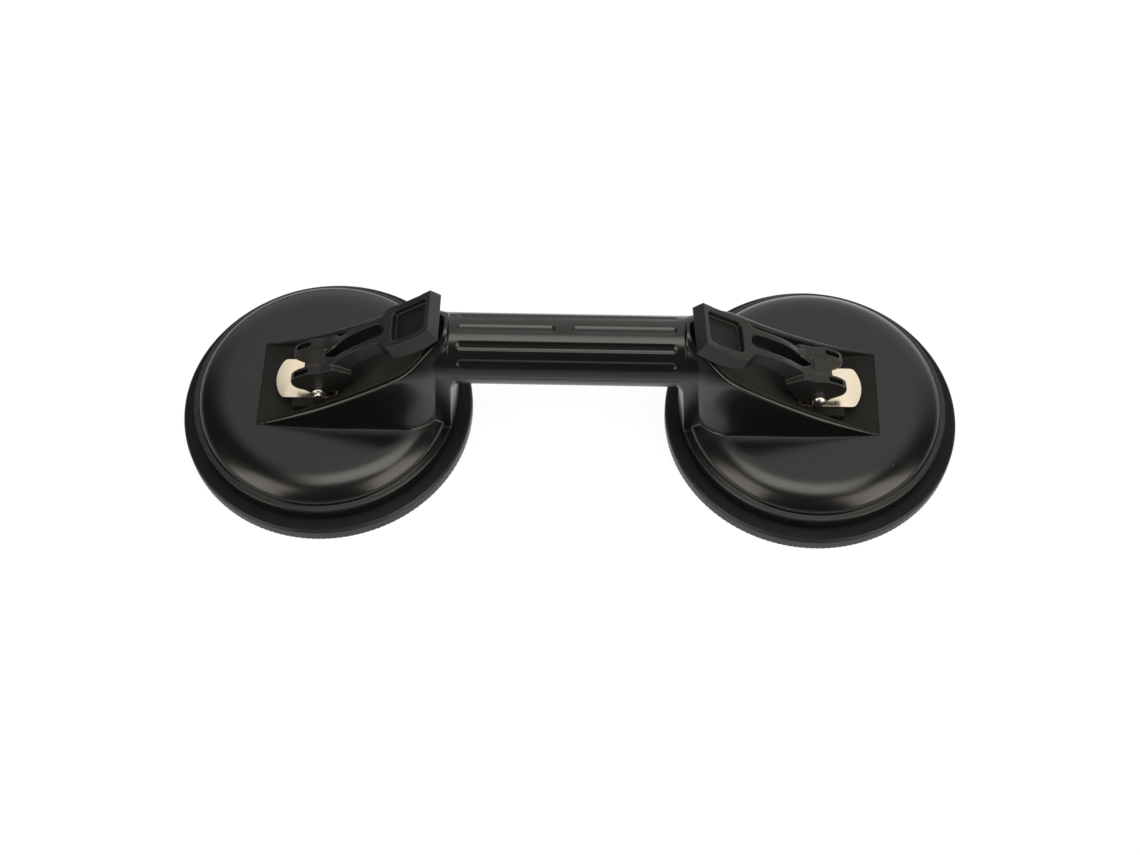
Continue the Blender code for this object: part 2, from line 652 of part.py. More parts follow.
# ---------------------------------------------------------------- wear plate
def make_wear_plate():
    def curl(radius):
        steps = 5
        points = []
        for i in range(steps + 1):
            angle = PLATE_CURL_ANGLE * i / steps
            points.append((PLATE_CURL_X + radius * math.sin(angle),
                           PLATE_TOP + PLATE_CURL_RADIUS - radius * math.cos(angle)))
        return points

    outer = PLATE_OUTER_X - 0.002
    top = [(outer, PLATE_TOP)] + curl(PLATE_CURL_RADIUS)
    bottom = [(outer, PLATE_TOP - PLATE_THICKNESS)] + curl(PLATE_CURL_RADIUS + PLATE_THICKNESS)
    plate = prism("wear_plate", top + bottom[::-1], "Y", -PLATE_HALF_WIDTH, PLATE_HALF_WIDTH, PARTS, NICKEL)
    inboard = PLATE_CURL_X + 2 * PLATE_CURL_RADIUS
    half = PLATE_HALF_WIDTH + 0.001
    spread = math.degrees(math.asin((PLATE_HALF_WIDTH - PLATE_CORNER) / PLATE_BOW_RADIUS))
    bow = arc((PLATE_OUTER_X + PLATE_BOW_RADIUS, 0), PLATE_BOW_RADIUS, 180 + spread, 180 - spread, 10)
    corner = (bow[0][0] + PLATE_CORNER, half)
    outline = bow + [corner, (inboard, half), (inboard, -half), (corner[0], -half)]
    trim = prism("plate_outline", outline, "Z", 0, 2 * COLLAR_TOP, CUTTERS)
    hole = cylinder("plate_hole", GUIDE_RADIUS, (0, 0, DOME_TOP), (0, 0, COLLAR_TOP), "Z", CUTTERS)
    boolean(plate, trim, "INTERSECT")
    boolean(plate, hole, "DIFFERENCE")
    bake(plate)
    return plate


# ---------------------------------------------------------------- lever, modelled about the pin's axis
def polar(angle, radius):
    """A point of the lever's side view, by its angle from inboard and its distance from the pin."""
    return (radius * math.cos(math.radians(angle)), radius * math.sin(math.radians(angle)))


def on_arm(share):
    """Local (x, z) of a point given in shares of the lever's length and rise."""
    return (share[0] * LEVER_LENGTH, share[1] * LEVER_RISE)


def lever_side_view():
    """Side view of the lever: the cam about the pin, the arm, and the thumb pad at its end."""
    foot = PIN_OVER_PLATE - GAP
    reach = CAM_LOBE_REACH
    cam = [polar(270, foot), polar(250, foot * 1.03), polar(225, foot * 1.11), polar(200, reach * 0.43),
           polar(180, reach * 0.57), polar(165, reach * 0.78), polar(158, reach * 0.92), polar(152, reach),
           polar(146, reach * 1.035), polar(140, reach * 1.06), polar(133, reach * 1.08)]
    heel = polar(300, foot * 1.07)
    return cam + [on_arm(share) for share in ARM_TOP_SHARES + ARM_UNDER_SHARES] + [heel]


def lever_plan_view():
    """Outline of the lever seen from above: wide cam, slim arm, square pad."""
    outboard = -2 * CAM_LOBE_REACH
    pad_start = on_arm(PAD_START_SHARE)[0]
    pad_end = LEVER_LENGTH + GAP
    half = [
        (outboard, CAM_HALF_WIDTH), (0.05 * LEVER_LENGTH, CAM_HALF_WIDTH),
        (0.17 * LEVER_LENGTH, ARM_HALF_WIDTH),
        (pad_start - PAD_HALF_WIDTH + ARM_HALF_WIDTH, ARM_HALF_WIDTH), (pad_start, PAD_HALF_WIDTH),
        (pad_end, PAD_HALF_WIDTH),
    ]
    return half + [(x, -y) for x, y in reversed(half)]


def make_lever():
    wide = 2 * CAM_HALF_WIDTH
    lever = prism("lever", lever_side_view(), "Y", -wide, wide, PARTS, LEVER_NYLON)
    far = 2 * LEVER_LENGTH
    plan = prism("lever_plan", lever_plan_view(), "Z", -far, far, CUTTERS)
    fork = CAM_HALF_WIDTH - CAM_LOBE_WIDTH
    fork_end, fork_roof = on_arm((0.300, 0.187))
    gap_outline = [
        (-far, -far), (fork_end, -far), (fork_end, 0.0), (0.4 * fork_end, fork_roof),
        (CROSSBAR_START, fork_roof), (CROSSBAR_START, far), (-far, far),
    ]
    fork_gap = prism("fork_gap", gap_outline, "Y", -fork, fork, CUTTERS)
    slot_end = on_arm(PAD_START_SHARE)[0] - 1.5 * ARM_SLOT_HALF_WIDTH
    slot_start, slot_floor = on_arm((0.170, 0.308))
    slot = arc((slot_end, 0), ARM_SLOT_HALF_WIDTH, -90, 90, 8)
    slot += [(slot_start, ARM_SLOT_HALF_WIDTH * 0.4), (slot_start, -ARM_SLOT_HALF_WIDTH * 0.4)]
    arm_slot = prism("arm_slot", slot, "Z", slot_floor, far, CUTTERS)
    bore = cylinder("lever_bore", PIN_BORE_RADIUS, (0, -far, 0), (0, far, 0), "Y", CUTTERS)
    start, tip = on_arm(PAD_START_SHARE), on_arm(PAD_TIP_SHARE)
    pad_angle = math.atan2(tip[1] - start[1], tip[0] - start[0])
    pad_middle = ((start[0] + tip[0]) / 2, 0, (start[1] + tip[1]) / 2)
    half_length = math.dist(start, tip) / 2 - PAD_RIM
    half_width = PAD_HALF_WIDTH - PAD_RIM
    recess_low = (-half_length, -half_width, -PAD_RECESS_DEPTH)
    recess = block("pad_recess", recess_low, (half_length, half_width, CAM_HALF_WIDTH), CUTTERS)
    recess.data.transform(Matrix.Translation(pad_middle) @ Matrix.Rotation(-pad_angle, 4, "Y"))
    for other, operation in [(plan, "INTERSECT"), (fork_gap, "DIFFERENCE"), (arm_slot, "DIFFERENCE"),
                             (bore, "DIFFERENCE"), (recess, "DIFFERENCE")]:
        boolean(lever, other, operation)
    bake(lever)
    return lever


def make_pin():
    """Pin about its own axis: head at the far end, grooved tail at the near end."""
    seat = CAM_HALF_WIDTH + GAP
    groove = seat + 0.0002
    tail = groove + PIN_GROOVE_WIDTH + PIN_TAIL
    inner = PIN_RADIUS - PIN_GROOVE_DEPTH
    head = [(0, seat + PIN_HEAD_HEIGHT), (PIN_HEAD_RADIUS * 0.7, seat + PIN_HEAD_HEIGHT * 0.85),
            (PIN_HEAD_RADIUS, seat + PIN_HEAD_HEIGHT * 0.35), (PIN_HEAD_RADIUS, seat)]
    shank = [(PIN_RADIUS, seat), (PIN_RADIUS, -groove), (inner, -groove),
             (inner, -groove - PIN_GROOVE_WIDTH), (PIN_RADIUS, -groove - PIN_GROOVE_WIDTH)]
    profile = head + shank + [(PIN_RADIUS, -tail + 0.0003), (PIN_RADIUS * 0.85, -tail), (0, -tail)]
    pin = turned("pivot_pin", profile, PARTS, STEEL, steps=SMALL_STEPS)
    pin.data.transform(Matrix.Rotation(-math.pi / 2, 4, "X"))
    return pin


def make_ring():
    middle = CAM_HALF_WIDTH + GAP + 0.0002 + PIN_GROOVE_WIDTH / 2
    inner = PIN_RADIUS - PIN_GROOVE_DEPTH + GAP
    half = RING_THICKNESS / 2
    profile = ring_profile(inner, PIN_RADIUS + RING_WIDTH, -middle - half, -middle + half)
    ring = turned("retaining_ring", profile, PARTS, SPRING_STEEL, steps=SMALL_STEPS)
    ring.data.transform(Matrix.Rotation(-math.pi / 2, 4, "X"))
    return ring


# ---------------------------------------------------------------- assembly
def place_cups():
    """Makes one set of cup pieces, and places it twice with shared meshes."""
    at_centre = [make_rubber_disc(), make_anchor_plate(), make_washer(), make_spring(), make_wear_plate()]
    at_stud = [make_stud()]
    at_pin = [make_lever(), make_pin(), make_ring()]
    cups = (("left", -CUP_X, 0.0, 0.0), ("right", CUP_X, math.pi, RIGHT_STUD_TURN))
    for side, x, turn, stud_turn in cups:
        cup = bpy.data.objects.new(side + "_cup_centre", None)
        stud_centre = bpy.data.objects.new(side + "_stud_centre", None)
        pin_axis = bpy.data.objects.new(side + "_pin_axis", None)
        for empty in (cup, stud_centre, pin_axis):
            empty.empty_display_size = 0.02
            PARTS.objects.link(empty)
        cup.location = (x, 0, 0)
        cup.rotation_euler = (0, 0, turn)
        stud_centre.parent = cup
        stud_centre.rotation_euler = (0, 0, stud_turn)
        pin_axis.parent = stud_centre
        pin_axis.location = (0, 0, PIN_HEIGHT)
        for pieces, parent in ((at_centre, cup), (at_stud, stud_centre), (at_pin, pin_axis)):
            for piece in pieces:
                copy = bpy.data.objects.new(side + "_" + piece.name, piece.data)
                copy.parent = parent
                PARTS.objects.link(copy)
    for piece in at_centre + at_stud + at_pin:
        smooth(piece)
        bpy.data.objects.remove(piece, do_unlink=True)


make_body()
place_cups()
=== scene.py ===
# %% [markdown]
# # A double vacuum lifter
# Two rubber cups are joined by a round bar handle. On each cup a cam lever turns on a cross pin and
# pulls a stud up through the housing, and the stud lifts the middle of the rubber disc.
# This lesson starts from the engineering model of that lifter, which arrives as a frame of named
# nodes that move on their joints, and it builds the surfaces that a person sees around that frame:
# the moulded housings, the grip, the levers, the plated parts and the rubber.
# All sizes below are in millimetres, and MM turns them into Blender's metres at the last moment.

import math

import bpy
import numpy as np
from mathutils import Matrix, Vector


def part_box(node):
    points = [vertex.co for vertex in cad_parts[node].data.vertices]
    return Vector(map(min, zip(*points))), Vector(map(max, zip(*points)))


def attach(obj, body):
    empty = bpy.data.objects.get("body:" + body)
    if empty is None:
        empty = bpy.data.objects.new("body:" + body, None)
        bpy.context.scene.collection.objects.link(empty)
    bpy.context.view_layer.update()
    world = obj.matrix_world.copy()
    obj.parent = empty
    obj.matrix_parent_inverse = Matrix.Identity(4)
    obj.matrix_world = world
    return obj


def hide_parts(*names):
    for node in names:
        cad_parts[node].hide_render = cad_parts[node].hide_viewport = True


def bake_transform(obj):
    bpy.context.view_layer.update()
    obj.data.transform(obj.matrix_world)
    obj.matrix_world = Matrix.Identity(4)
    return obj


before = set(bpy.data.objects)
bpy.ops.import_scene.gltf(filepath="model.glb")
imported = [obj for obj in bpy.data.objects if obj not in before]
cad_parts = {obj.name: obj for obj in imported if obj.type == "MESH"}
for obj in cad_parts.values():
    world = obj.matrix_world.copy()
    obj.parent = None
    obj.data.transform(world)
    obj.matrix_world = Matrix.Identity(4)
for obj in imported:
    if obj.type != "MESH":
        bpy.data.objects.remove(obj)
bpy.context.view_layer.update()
MM = 0.001

# %% [markdown]
# Both cups are the same moulding turned half a turn, so every piece of a cup is modelled once, about
# the cup's own centre with local +X pointing at the handle. The distance between the two cups comes
# from the frame's rubber discs, so nothing here has to be measured twice.

# %% Where the two cups stand
left_disc_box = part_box("left_rubber_disc")
right_disc_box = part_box("right_rubber_disc")
CUP_X = (right_disc_box[0].x + right_disc_box[1].x) / 2 / MM
DISC_RADIUS = (left_disc_box[1].x - left_disc_box[0].x) / 2 / MM
PIN_Z = sum(corner.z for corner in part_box("left_pivot_pin")) / 2 / MM
PIN_TO_PLATE = 4.0
PLATE_TOP = PIN_Z - PIN_TO_PLATE
STUD_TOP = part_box("left_draw_stud")[1].z / MM
RIGHT_STUD_TURN = 4.5
print("cup centres at x = +-", round(CUP_X, 2))
print("disc radius", round(DISC_RADIUS, 2), "pin height", round(PIN_Z, 2))

# %% [markdown]
# ## Helpers
# The frame leaves its nodes selected, and Blender's operators act on whatever is selected. So every
# step starts from nothing selected, and then picks the one piece that it works on.

# %% Start from nothing, pick one piece
def start_clean():
    """Leaves edit mode and deselects everything."""
    if bpy.context.mode != "OBJECT":
        bpy.ops.object.mode_set(mode="OBJECT")
    bpy.ops.object.select_all(action="DESELECT")


def work_on(piece):
    """Makes one piece the only selected one."""
    start_clean()
    piece.select_set(True)
    bpy.context.view_layer.objects.active = piece


def clean_mesh(piece):
    """Merges points that lie on each other and turns every face outwards."""
    work_on(piece)
    bpy.ops.object.mode_set(mode="EDIT")
    bpy.ops.mesh.select_all(action="SELECT")
    bpy.ops.mesh.remove_doubles(threshold=1e-6)
    bpy.ops.mesh.normals_make_consistent(inside=False)
    bpy.ops.object.mode_set(mode="OBJECT")


def round_shading(piece, degrees=35):
    """Smooth shading that keeps edges sharper than this angle crisp."""
    work_on(piece)
    bpy.ops.object.shade_smooth_by_angle(angle=math.radians(degrees))


def apply_modifier(piece, kind, **settings):
    """Adds one modifier, sets it up and bakes it into the mesh."""
    work_on(piece)
    bpy.ops.object.modifier_add(type=kind)
    modifier = piece.modifiers[-1]
    for key, value in settings.items():
        setattr(modifier, key, value)
    bpy.ops.object.modifier_apply(modifier=modifier.name)


def cut(piece, other, operation="DIFFERENCE"):
    """Cuts piece with other, or joins or intersects them, and clears the cutter away."""
    apply_modifier(piece, "BOOLEAN", object=other, operation=operation, solver="EXACT")
    bpy.data.objects.remove(other, do_unlink=True)


# %% [markdown]
# Round pieces are spun. A plane is merged into one point, the point is extruded along the piece's
# half section, and the line is spun once round the vertical axis: the way a potter or a lathe does
# it. A line that begins and ends on the axis closes itself, and a ring repeats its first point.

# %% Spin a half section
def spun_piece(name, section, steps=128, sharp=35):
    """Spins (radius, height) points, in millimetres, once round Z."""
    start_clean()
    bpy.ops.mesh.primitive_plane_add(size=1)
    piece = bpy.context.object
    piece.name = name
    bpy.ops.object.mode_set(mode="EDIT")
    bpy.ops.mesh.merge(type="CENTER")
    bpy.ops.transform.translate(value=(section[0][0] * MM, 0, section[0][1] * MM))
    for (r1, z1), (r2, z2) in zip(section, section[1:]):
        step = ((r2 - r1) * MM, 0, (z2 - z1) * MM)
        bpy.ops.mesh.extrude_vertices_move(TRANSFORM_OT_translate={"value": step})
    bpy.ops.mesh.select_all(action="SELECT")
    bpy.ops.mesh.spin(steps=steps, angle=2 * math.pi, center=(0, 0, 0), axis=(0, 0, 1))
    clean_mesh(piece)
    round_shading(piece, sharp)
    return piece


def arc(cx, cz, radius, start, end, steps, tall=None):
    """Points of an arc, angles in degrees; tall makes it an ellipse."""
    tall = radius if tall is None else tall
    turns = [math.radians(start + (end - start) * i / steps) for i in range(steps + 1)]
    return [(cx + radius * math.cos(a), cz + tall * math.sin(a)) for a in turns]


# %% [markdown]
# Flat pieces, and the tools that cut holes, are an outline pushed out into a solid.

# %% Push an outline out
def pushed_outline(name, outline, low, high, axis="Y"):
    """Extrudes an outline in millimetres: axis "Y" takes (x, z) points, "Z" takes (x, y) points."""
    start_clean()
    bpy.ops.mesh.primitive_circle_add(vertices=len(outline), radius=1, fill_type="NGON")
    piece = bpy.context.object
    piece.name = name
    for vertex, (a, b) in zip(piece.data.vertices, outline):
        vertex.co = (a * MM, low * MM, b * MM) if axis == "Y" else (a * MM, b * MM, low * MM)
    push = (high - low) * MM
    bpy.ops.object.mode_set(mode="EDIT")
    bpy.ops.mesh.select_all(action="SELECT")
    move = (0, push, 0) if axis == "Y" else (0, 0, push)
    bpy.ops.mesh.extrude_region_move(TRANSFORM_OT_translate={"value": move})
    clean_mesh(piece)
    return piece


def block(name, low, high):
    """A box between two corners in millimetres."""
    x1, y1, z1 = low
    x2, y2, z2 = high
    return pushed_outline(name, [(x1, y1), (x2, y1), (x2, y2), (x1, y2)], z1, z2, "Z")


# %% [markdown]
# A shape whose cross section changes along its length is a loft. A grid is added with one row for
# each section, each row is laid along its section, and the grid's two long edges are merged where
# they meet, like a sheet of paper rolled into a tube. The ends are then filled.

# %% Roll a grid along its sections
def rolled_grid(name, rings, sharp=35):
    """Lays a grid along rings of (x, y, z) points in millimetres, one ring for each row."""
    rows, around = len(rings), len(rings[0])
    start_clean()
    bpy.ops.mesh.primitive_grid_add(x_subdivisions=around, y_subdivisions=rows - 1, size=1)
    piece = bpy.context.object
    piece.name = name
    places = np.array([list(ring) + [ring[0]] for ring in rings], float) * MM
    piece.data.vertices.foreach_set("co", places.reshape(-1))
    piece.data.update()
    bpy.ops.object.mode_set(mode="EDIT")
    bpy.ops.mesh.select_all(action="SELECT")
    bpy.ops.mesh.remove_doubles(threshold=1e-7)
    bpy.ops.mesh.select_all(action="DESELECT")
    bpy.ops.mesh.select_non_manifold(extend=False, use_wire=False, use_multi_face=False,
                                     use_non_contiguous=False, use_verts=False)
    bpy.ops.mesh.fill_holes(sides=0)
    bpy.ops.mesh.select_all(action="SELECT")
    bpy.ops.mesh.normals_make_consistent(inside=False)
    bpy.ops.object.mode_set(mode="OBJECT")
    round_shading(piece, sharp)
    return piece


def ease(t):
    """A smooth step from 0 to 1."""
    t = min(1.0, max(0.0, t))
    return t * t * (3 - 2 * t)


# %% [markdown]
# A piece that is finished about its cup's centre is put in place with its object's location and
# turn, and those are then applied, so that the place ends up in the mesh. The right cup gets a copy
# with a mesh of its own, turned half a turn.

# %% Put a piece on its cup
SHARED_NODES = ("body_shell", "handle_underside")


def settle(piece, place, turn):
    """Moves a piece by millimetres and turns it by degrees, and puts both into its mesh."""
    piece.rotation_euler = [math.radians(angle) for angle in turn]
    piece.location = [distance * MM for distance in place]
    work_on(piece)
    bpy.ops.object.transform_apply(location=True, rotation=True, scale=True)
    return piece


def copy_of(piece):
    """A second piece, with a mesh of its own."""
    work_on(piece)
    bpy.ops.object.duplicate(linked=False)
    return bpy.context.object


def pair(piece, name, turn=180):
    """Puts a piece on the left cup and a turned copy on the right; lists each side, piece and x."""
    sides = (("left", piece, -CUP_X, 0), ("right", copy_of(piece), CUP_X, turn))
    for side, one, x, around in sides:
        one.name = f"{side}_{name}"
        settle(one, (x, 0, 0), (0, 0, around))
    print(name, "has", len(piece.data.polygons), "faces on each side")
    return [(side, one, x) for side, one, x, around in sides]


def on_both_cups(piece, name, body, node, swivel=0.0):
    """Makes left_name and right_name out of one piece; body and node are named without the side."""
    for side, one, x in pair(piece, name, 180 + swivel):
        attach(one, body if body == "housing" else f"{side}_{body}")
        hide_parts(node if node in SHARED_NODES else f"{side}_{node}")


# %% [markdown]
# ## Finishes
# Every finish is a Principled shader with procedural detail on Object coordinates. All pieces keep
# their object at the origin, so those coordinates are the same metres everywhere, and a grain that
# is right on the housing is right on the lever as well.

# %% Small tools for materials
def new_finish(name, colour, roughness, metallic=0.0):
    """A Principled material with its plain values set on the shader itself."""
    finish = bpy.data.materials.new(name)
    finish.use_nodes = True
    shader = finish.node_tree.nodes["Principled BSDF"]
    shader.inputs["Base Color"].default_value = (*colour, 1)
    shader.inputs["Roughness"].default_value = roughness
    shader.inputs["Metallic"].default_value = metallic
    return finish, shader


def add_node(finish, kind, links=None, **settings):
    """Adds a node; links names its inputs and the sockets or values that go into them."""
    tree = finish.node_tree
    node = tree.nodes.new("ShaderNode" + kind)
    for key, value in settings.items():
        setattr(node, key, value)
    for key, value in (links or {}).items():
        socket = node.inputs[key]
        if isinstance(value, bpy.types.NodeSocket):
            tree.links.new(value, socket)
        else:
            socket.default_value = value
    return node


def maths(finish, operation, *values):
    """A Math node on numbers or sockets; gives its result."""
    return add_node(finish, "Math", dict(enumerate(values)), operation=operation).outputs["Value"]


def vector_maths(finish, operation, *values):
    """The same on vectors; a dot product or a length gives a number."""
    node = add_node(finish, "VectorMath", dict(enumerate(values)), operation=operation)
    return node.outputs["Value" if operation in ("DOT_PRODUCT", "LENGTH") else "Vector"]


def scaled(finish, vector, amount):
    return add_node(finish, "VectorMath", {0: vector, "Scale": amount}, operation="SCALE").outputs["Vector"]


def soft_step(finish, value, start, end):
    """0 before start, 1 after end, and smooth between."""
    return add_node(finish, "MapRange", {
        "Value": value, "From Min": start, "From Max": end, "To Min": 0.0, "To Max": 1.0,
    }, interpolation_type="SMOOTHSTEP").outputs["Result"]


def object_place(finish):
    return add_node(finish, "TexCoord").outputs["Object"]


def object_noise(finish, scale, detail):
    return add_node(finish, "TexNoise", {
        "Vector": object_place(finish), "Scale": scale, "Detail": detail, "Roughness": 0.5,
    }).outputs["Fac"]


def spread(finish, value, low, high, start=0.3, end=0.7):
    """Maps a texture value onto the range that a socket needs."""
    return add_node(finish, "MapRange", {
        "Value": value, "From Min": start, "From Max": end, "To Min": low, "To Max": high,
    }).outputs["Result"]


def link(finish, source, shader, socket):
    finish.node_tree.links.new(source, shader.inputs[socket])


def add_bump(finish, shader, height, strength, distance):
    bump = add_node(finish, "Bump", {"Height": height, "Strength": strength, "Distance": distance})
    link(finish, bump.outputs["Normal"], shader, "Normal")


# %% [markdown]
# The housing is injection-moulded black ABS with a fine even spark grain: satin, so that it gathers
# soft highlights on its shoulders. Two noises do the work, a very fine one as bump and a broad one
# that shifts the roughness a little, as handling does. A few specks of dust sit on it.

# %% Black moulded plastics
DUST = (0.18, 0.175, 0.165, 1)


def moulded_finish(name, colour, low, high, grain_scale, grain, specular=0.5, dust=0.0):
    finish, shader = new_finish(name, colour, (low + high) / 2)
    shader.inputs["Specular IOR Level"].default_value = specular
    link(finish, spread(finish, object_noise(finish, 45, 4), low, high), shader, "Roughness")
    add_bump(finish, shader, object_noise(finish, grain_scale, 2), grain, 0.00005)
    tone = spread(finish, object_noise(finish, 120, 5), 0.85, 1.15)
    shade = add_node(finish, "HueSaturation", {"Color": (*colour, 1), "Value": tone})
    speckled = add_node(finish, "Mix", {"Factor": 0.0}, data_type="RGBA")
    link(finish, shade.outputs["Color"], speckled, "A")
    speckled.inputs["B"].default_value = DUST
    if dust:
        cells = add_node(finish, "TexVoronoi", {"Vector": object_place(finish), "Scale": 210.0})
        speck = spread(finish, cells.outputs["Distance"], 1.0, 0.0, start=0.035, end=0.055)
        some = spread(finish, object_noise(finish, 160, 1), 0.0, dust, start=0.60, end=0.64)
        link(finish, maths(finish, "MULTIPLY", speck, some), speckled, "Factor")
    link(finish, speckled.outputs["Result"], shader, "Base Color")
    return finish


def paint_uphill_sheen(finish):
    """Paints a sheen into the scoop's colour: the floor gets lighter where it climbs away from the cup's middle."""
    shader = finish.node_tree.nodes["Principled BSDF"]
    colour = shader.inputs["Base Color"].links[0].from_socket
    x = add_node(finish, "SeparateXYZ", {"Vector": object_place(finish)}).outputs["X"]
    away = maths(finish, "ABSOLUTE", x)
    lift = spread(finish, away, 1.0, 2.1, start=(CUP_X - 2) * MM, end=(CUP_X - 20) * MM)
    link(finish, scaled(finish, colour, lift), shader, "Base Color")


HOUSING_ABS = moulded_finish("housing_satin_abs", (0.0038, 0.0038, 0.0036), 0.205, 0.265, 2600, 0.10, dust=0.5)
COVER_ABS = moulded_finish("cover_satin_abs", (0.0056, 0.0055, 0.0051), 0.26, 0.33, 2600, 0.10)
# The scoop's matt finish also carries a painted sheen: its colour gets lighter where the floor climbs.
SCOOP_MATT_SHEEN_ABS = moulded_finish("scoop_matt_abs_painted_sheen", (0.0140, 0.0138, 0.0131), 0.46, 0.54, 2200, 0.2, specular=0.08)
paint_uphill_sheen(SCOOP_MATT_SHEEN_ABS)
LEVER_NYLON = moulded_finish("lever_matt_nylon", (0.0080, 0.0079, 0.0075), 0.36, 0.45, 2000, 0.2)
TRAY_NYLON = moulded_finish("tray_matt_nylon", (0.0042, 0.0040, 0.0038), 0.42, 0.52, 2000, 0.3, specular=0.3)
RUBBER = moulded_finish("disc_rubber", (0.0110, 0.0112, 0.0118), 0.34, 0.42, 1500, 0.25,
                        specular=0.32, dust=0.25)
# The rim's top is a less shiny finish of the same rubber, and its darker colour is painted shade.
RIM_TOP_SHADED_RUBBER = moulded_finish("rim_top_rubber_painted_shade", (0.0050, 0.0052, 0.0056), 0.46, 0.56, 1800, 0.25, specular=0.14)

# %% [markdown]
# The metal parts are small: a nickel-plated wear plate that the cam rubs on, a zinc-plated pin with
# its retaining ring, and spring steel. Rubbing polishes metal in streaks, so their roughness comes
# from a noise that is stretched along the plate.

# %% Plated metals
def plated_finish(name, colour, low, high, stretch=(1, 1, 1), bump_strength=0.1):
    finish, shader = new_finish(name, colour, (low + high) / 2, 1.0)
    turned = add_node(finish, "Mapping", {"Vector": object_place(finish), "Scale": stretch})
    streaks = add_node(finish, "TexNoise", {"Vector": turned.outputs["Vector"], "Scale": 900.0, "Detail": 4.0})
    link(finish, spread(finish, streaks.outputs["Fac"], low, high), shader, "Roughness")
    add_bump(finish, shader, streaks.outputs["Fac"], bump_strength, 0.00003)
    return finish


NICKEL = plated_finish("wear_plate_nickel", (0.84, 0.74, 0.60), 0.16, 0.30, (0.2, 1, 1), 0.15)
ZINC = plated_finish("pin_zinc_steel", (0.74, 0.71, 0.66), 0.26, 0.38)
SPRING_STEEL = plated_finish("spring_dark_steel", (0.30, 0.30, 0.31), 0.25, 0.35)


def paint(piece, finish):
    piece.data.materials.clear()
    piece.data.materials.append(finish)


# %% [markdown]
# ## The housing
# The housing is a shallow round dome with an elliptical shoulder. A narrow flat ledge runs round its
# foot, and below that is the short upright wall of the flange that the rubber looks out from under.
# It is one turned shell with a hollow inside, so one half section spun round makes all of it.

# %% Sizes of the housing
DOME_TOP = 21.5
LEDGE_Z = 13.8
FLANGE_R = DISC_RADIUS - 5.7
FLANGE_LOW = 7.3
DOME_R = FLANGE_R - 2.3
SHOULDER_START = 38.5
DOME_FOOT = 14.1
POCKET_R, POCKET_ROOF, GUIDE_R = 9.5, 22.0, 4.4


def dome_height(radius):
    """Height of the housing's outer surface at a distance from the cup's centre."""
    if radius <= SHOULDER_START:
        return DOME_TOP
    if radius >= DOME_R:
        return LEDGE_Z
    across = (radius - SHOULDER_START) / (DOME_R - SHOULDER_START)
    return DOME_FOOT + (DOME_TOP - DOME_FOOT) * math.sqrt(1 - across * across)


# %% Spin the dome
outer = [(POCKET_R, DOME_TOP), (20, DOME_TOP), (32, DOME_TOP)]
outer += arc(SHOULDER_START, DOME_FOOT, DOME_R - SHOULDER_START, 90, 4, 26, tall=DOME_TOP - DOME_FOOT)
ledge = arc(DOME_R + 0.25, LEDGE_Z + 0.25, 0.25, 190, 270, 5)
ledge += arc(FLANGE_R - 0.35, LEDGE_Z - 0.35, 0.35, 90, 0, 6)
foot = arc(FLANGE_R - 0.3, FLANGE_LOW + 0.3, 0.3, 0, -90, 3)
hollow = [(DOME_R - 3, FLANGE_LOW)] + arc(DOME_R - 7.8, 13.7, 4.8, 0, 90, 8) + [(POCKET_R, 18.5)]
dome = spun_piece("housing_dome", outer + ledge + foot + hollow + [outer[0]], steps=192)
print("dome", len(dome.data.polygons), "faces")

# %% [markdown]
# ## The neck and its scoop
# The neck grows out of the dome, climbs as two rims on either side of a scoop, and closes into a
# collar round the handle. Its sides are concave and narrow into a thin upright web at the inboard
# end. No single primitive has that shape, but every cross section of it is easy to say: foot
# fillet, flared side, rounded rim, inner wall, rounded corner, floor. So the neck is a loft, and
# the small radii that catch the light are part of each section.

# %% Curves that shape the neck
SCOOP_START, SCOOP_END, NECK_FACE = -25.5, 46.5, 53.0
AXIS_Z, BAR_R, COLLAR_R, WEB_HALF = 51.0, 14.0, 17.0, 14.04
RIDGE_END = 52.2
SCOOP_FLOOR, FLOOR_BEND_X, FLOOR_BEND, FLOOR_SLOPE = 20.9, 1.0, 6.0, 0.77
BASE_HALF, BASE_OUTWARD, WAIST_END, WAIST_TOP, CREASE_REACH = 19.5, 1.2, 48.8, 45.0, 13.0
CREASE_X, CREASE_LEAN, CREASE_TOP_X = 48.6, 3.0, 54.2
RIM_FULL, FACE_RADIUS = 2.8, 54.28


def ridge_height(x):
    u = (x - SCOOP_START) / (RIDGE_END - SCOOP_START)
    return DOME_TOP + (AXIS_Z + COLLAR_R - DOME_TOP) * (0.55 * u + 0.45 * u * abs(u))


def floor_height(x):
    s = x - FLOOR_BEND_X
    return SCOOP_FLOOR + FLOOR_SLOPE * (s + math.hypot(s, FLOOR_BEND)) / 2


def crease_x(z, from_top):
    """Where the neck's side breaks into the web: near the handle at the top, further out lower down."""
    if z < AXIS_Z:
        return CREASE_X - CREASE_LEAN * (AXIS_Z - z) / AXIS_Z
    return CREASE_TOP_X - (CREASE_TOP_X - CREASE_X) * ease((math.degrees(from_top) - 8.0) / 55.0)


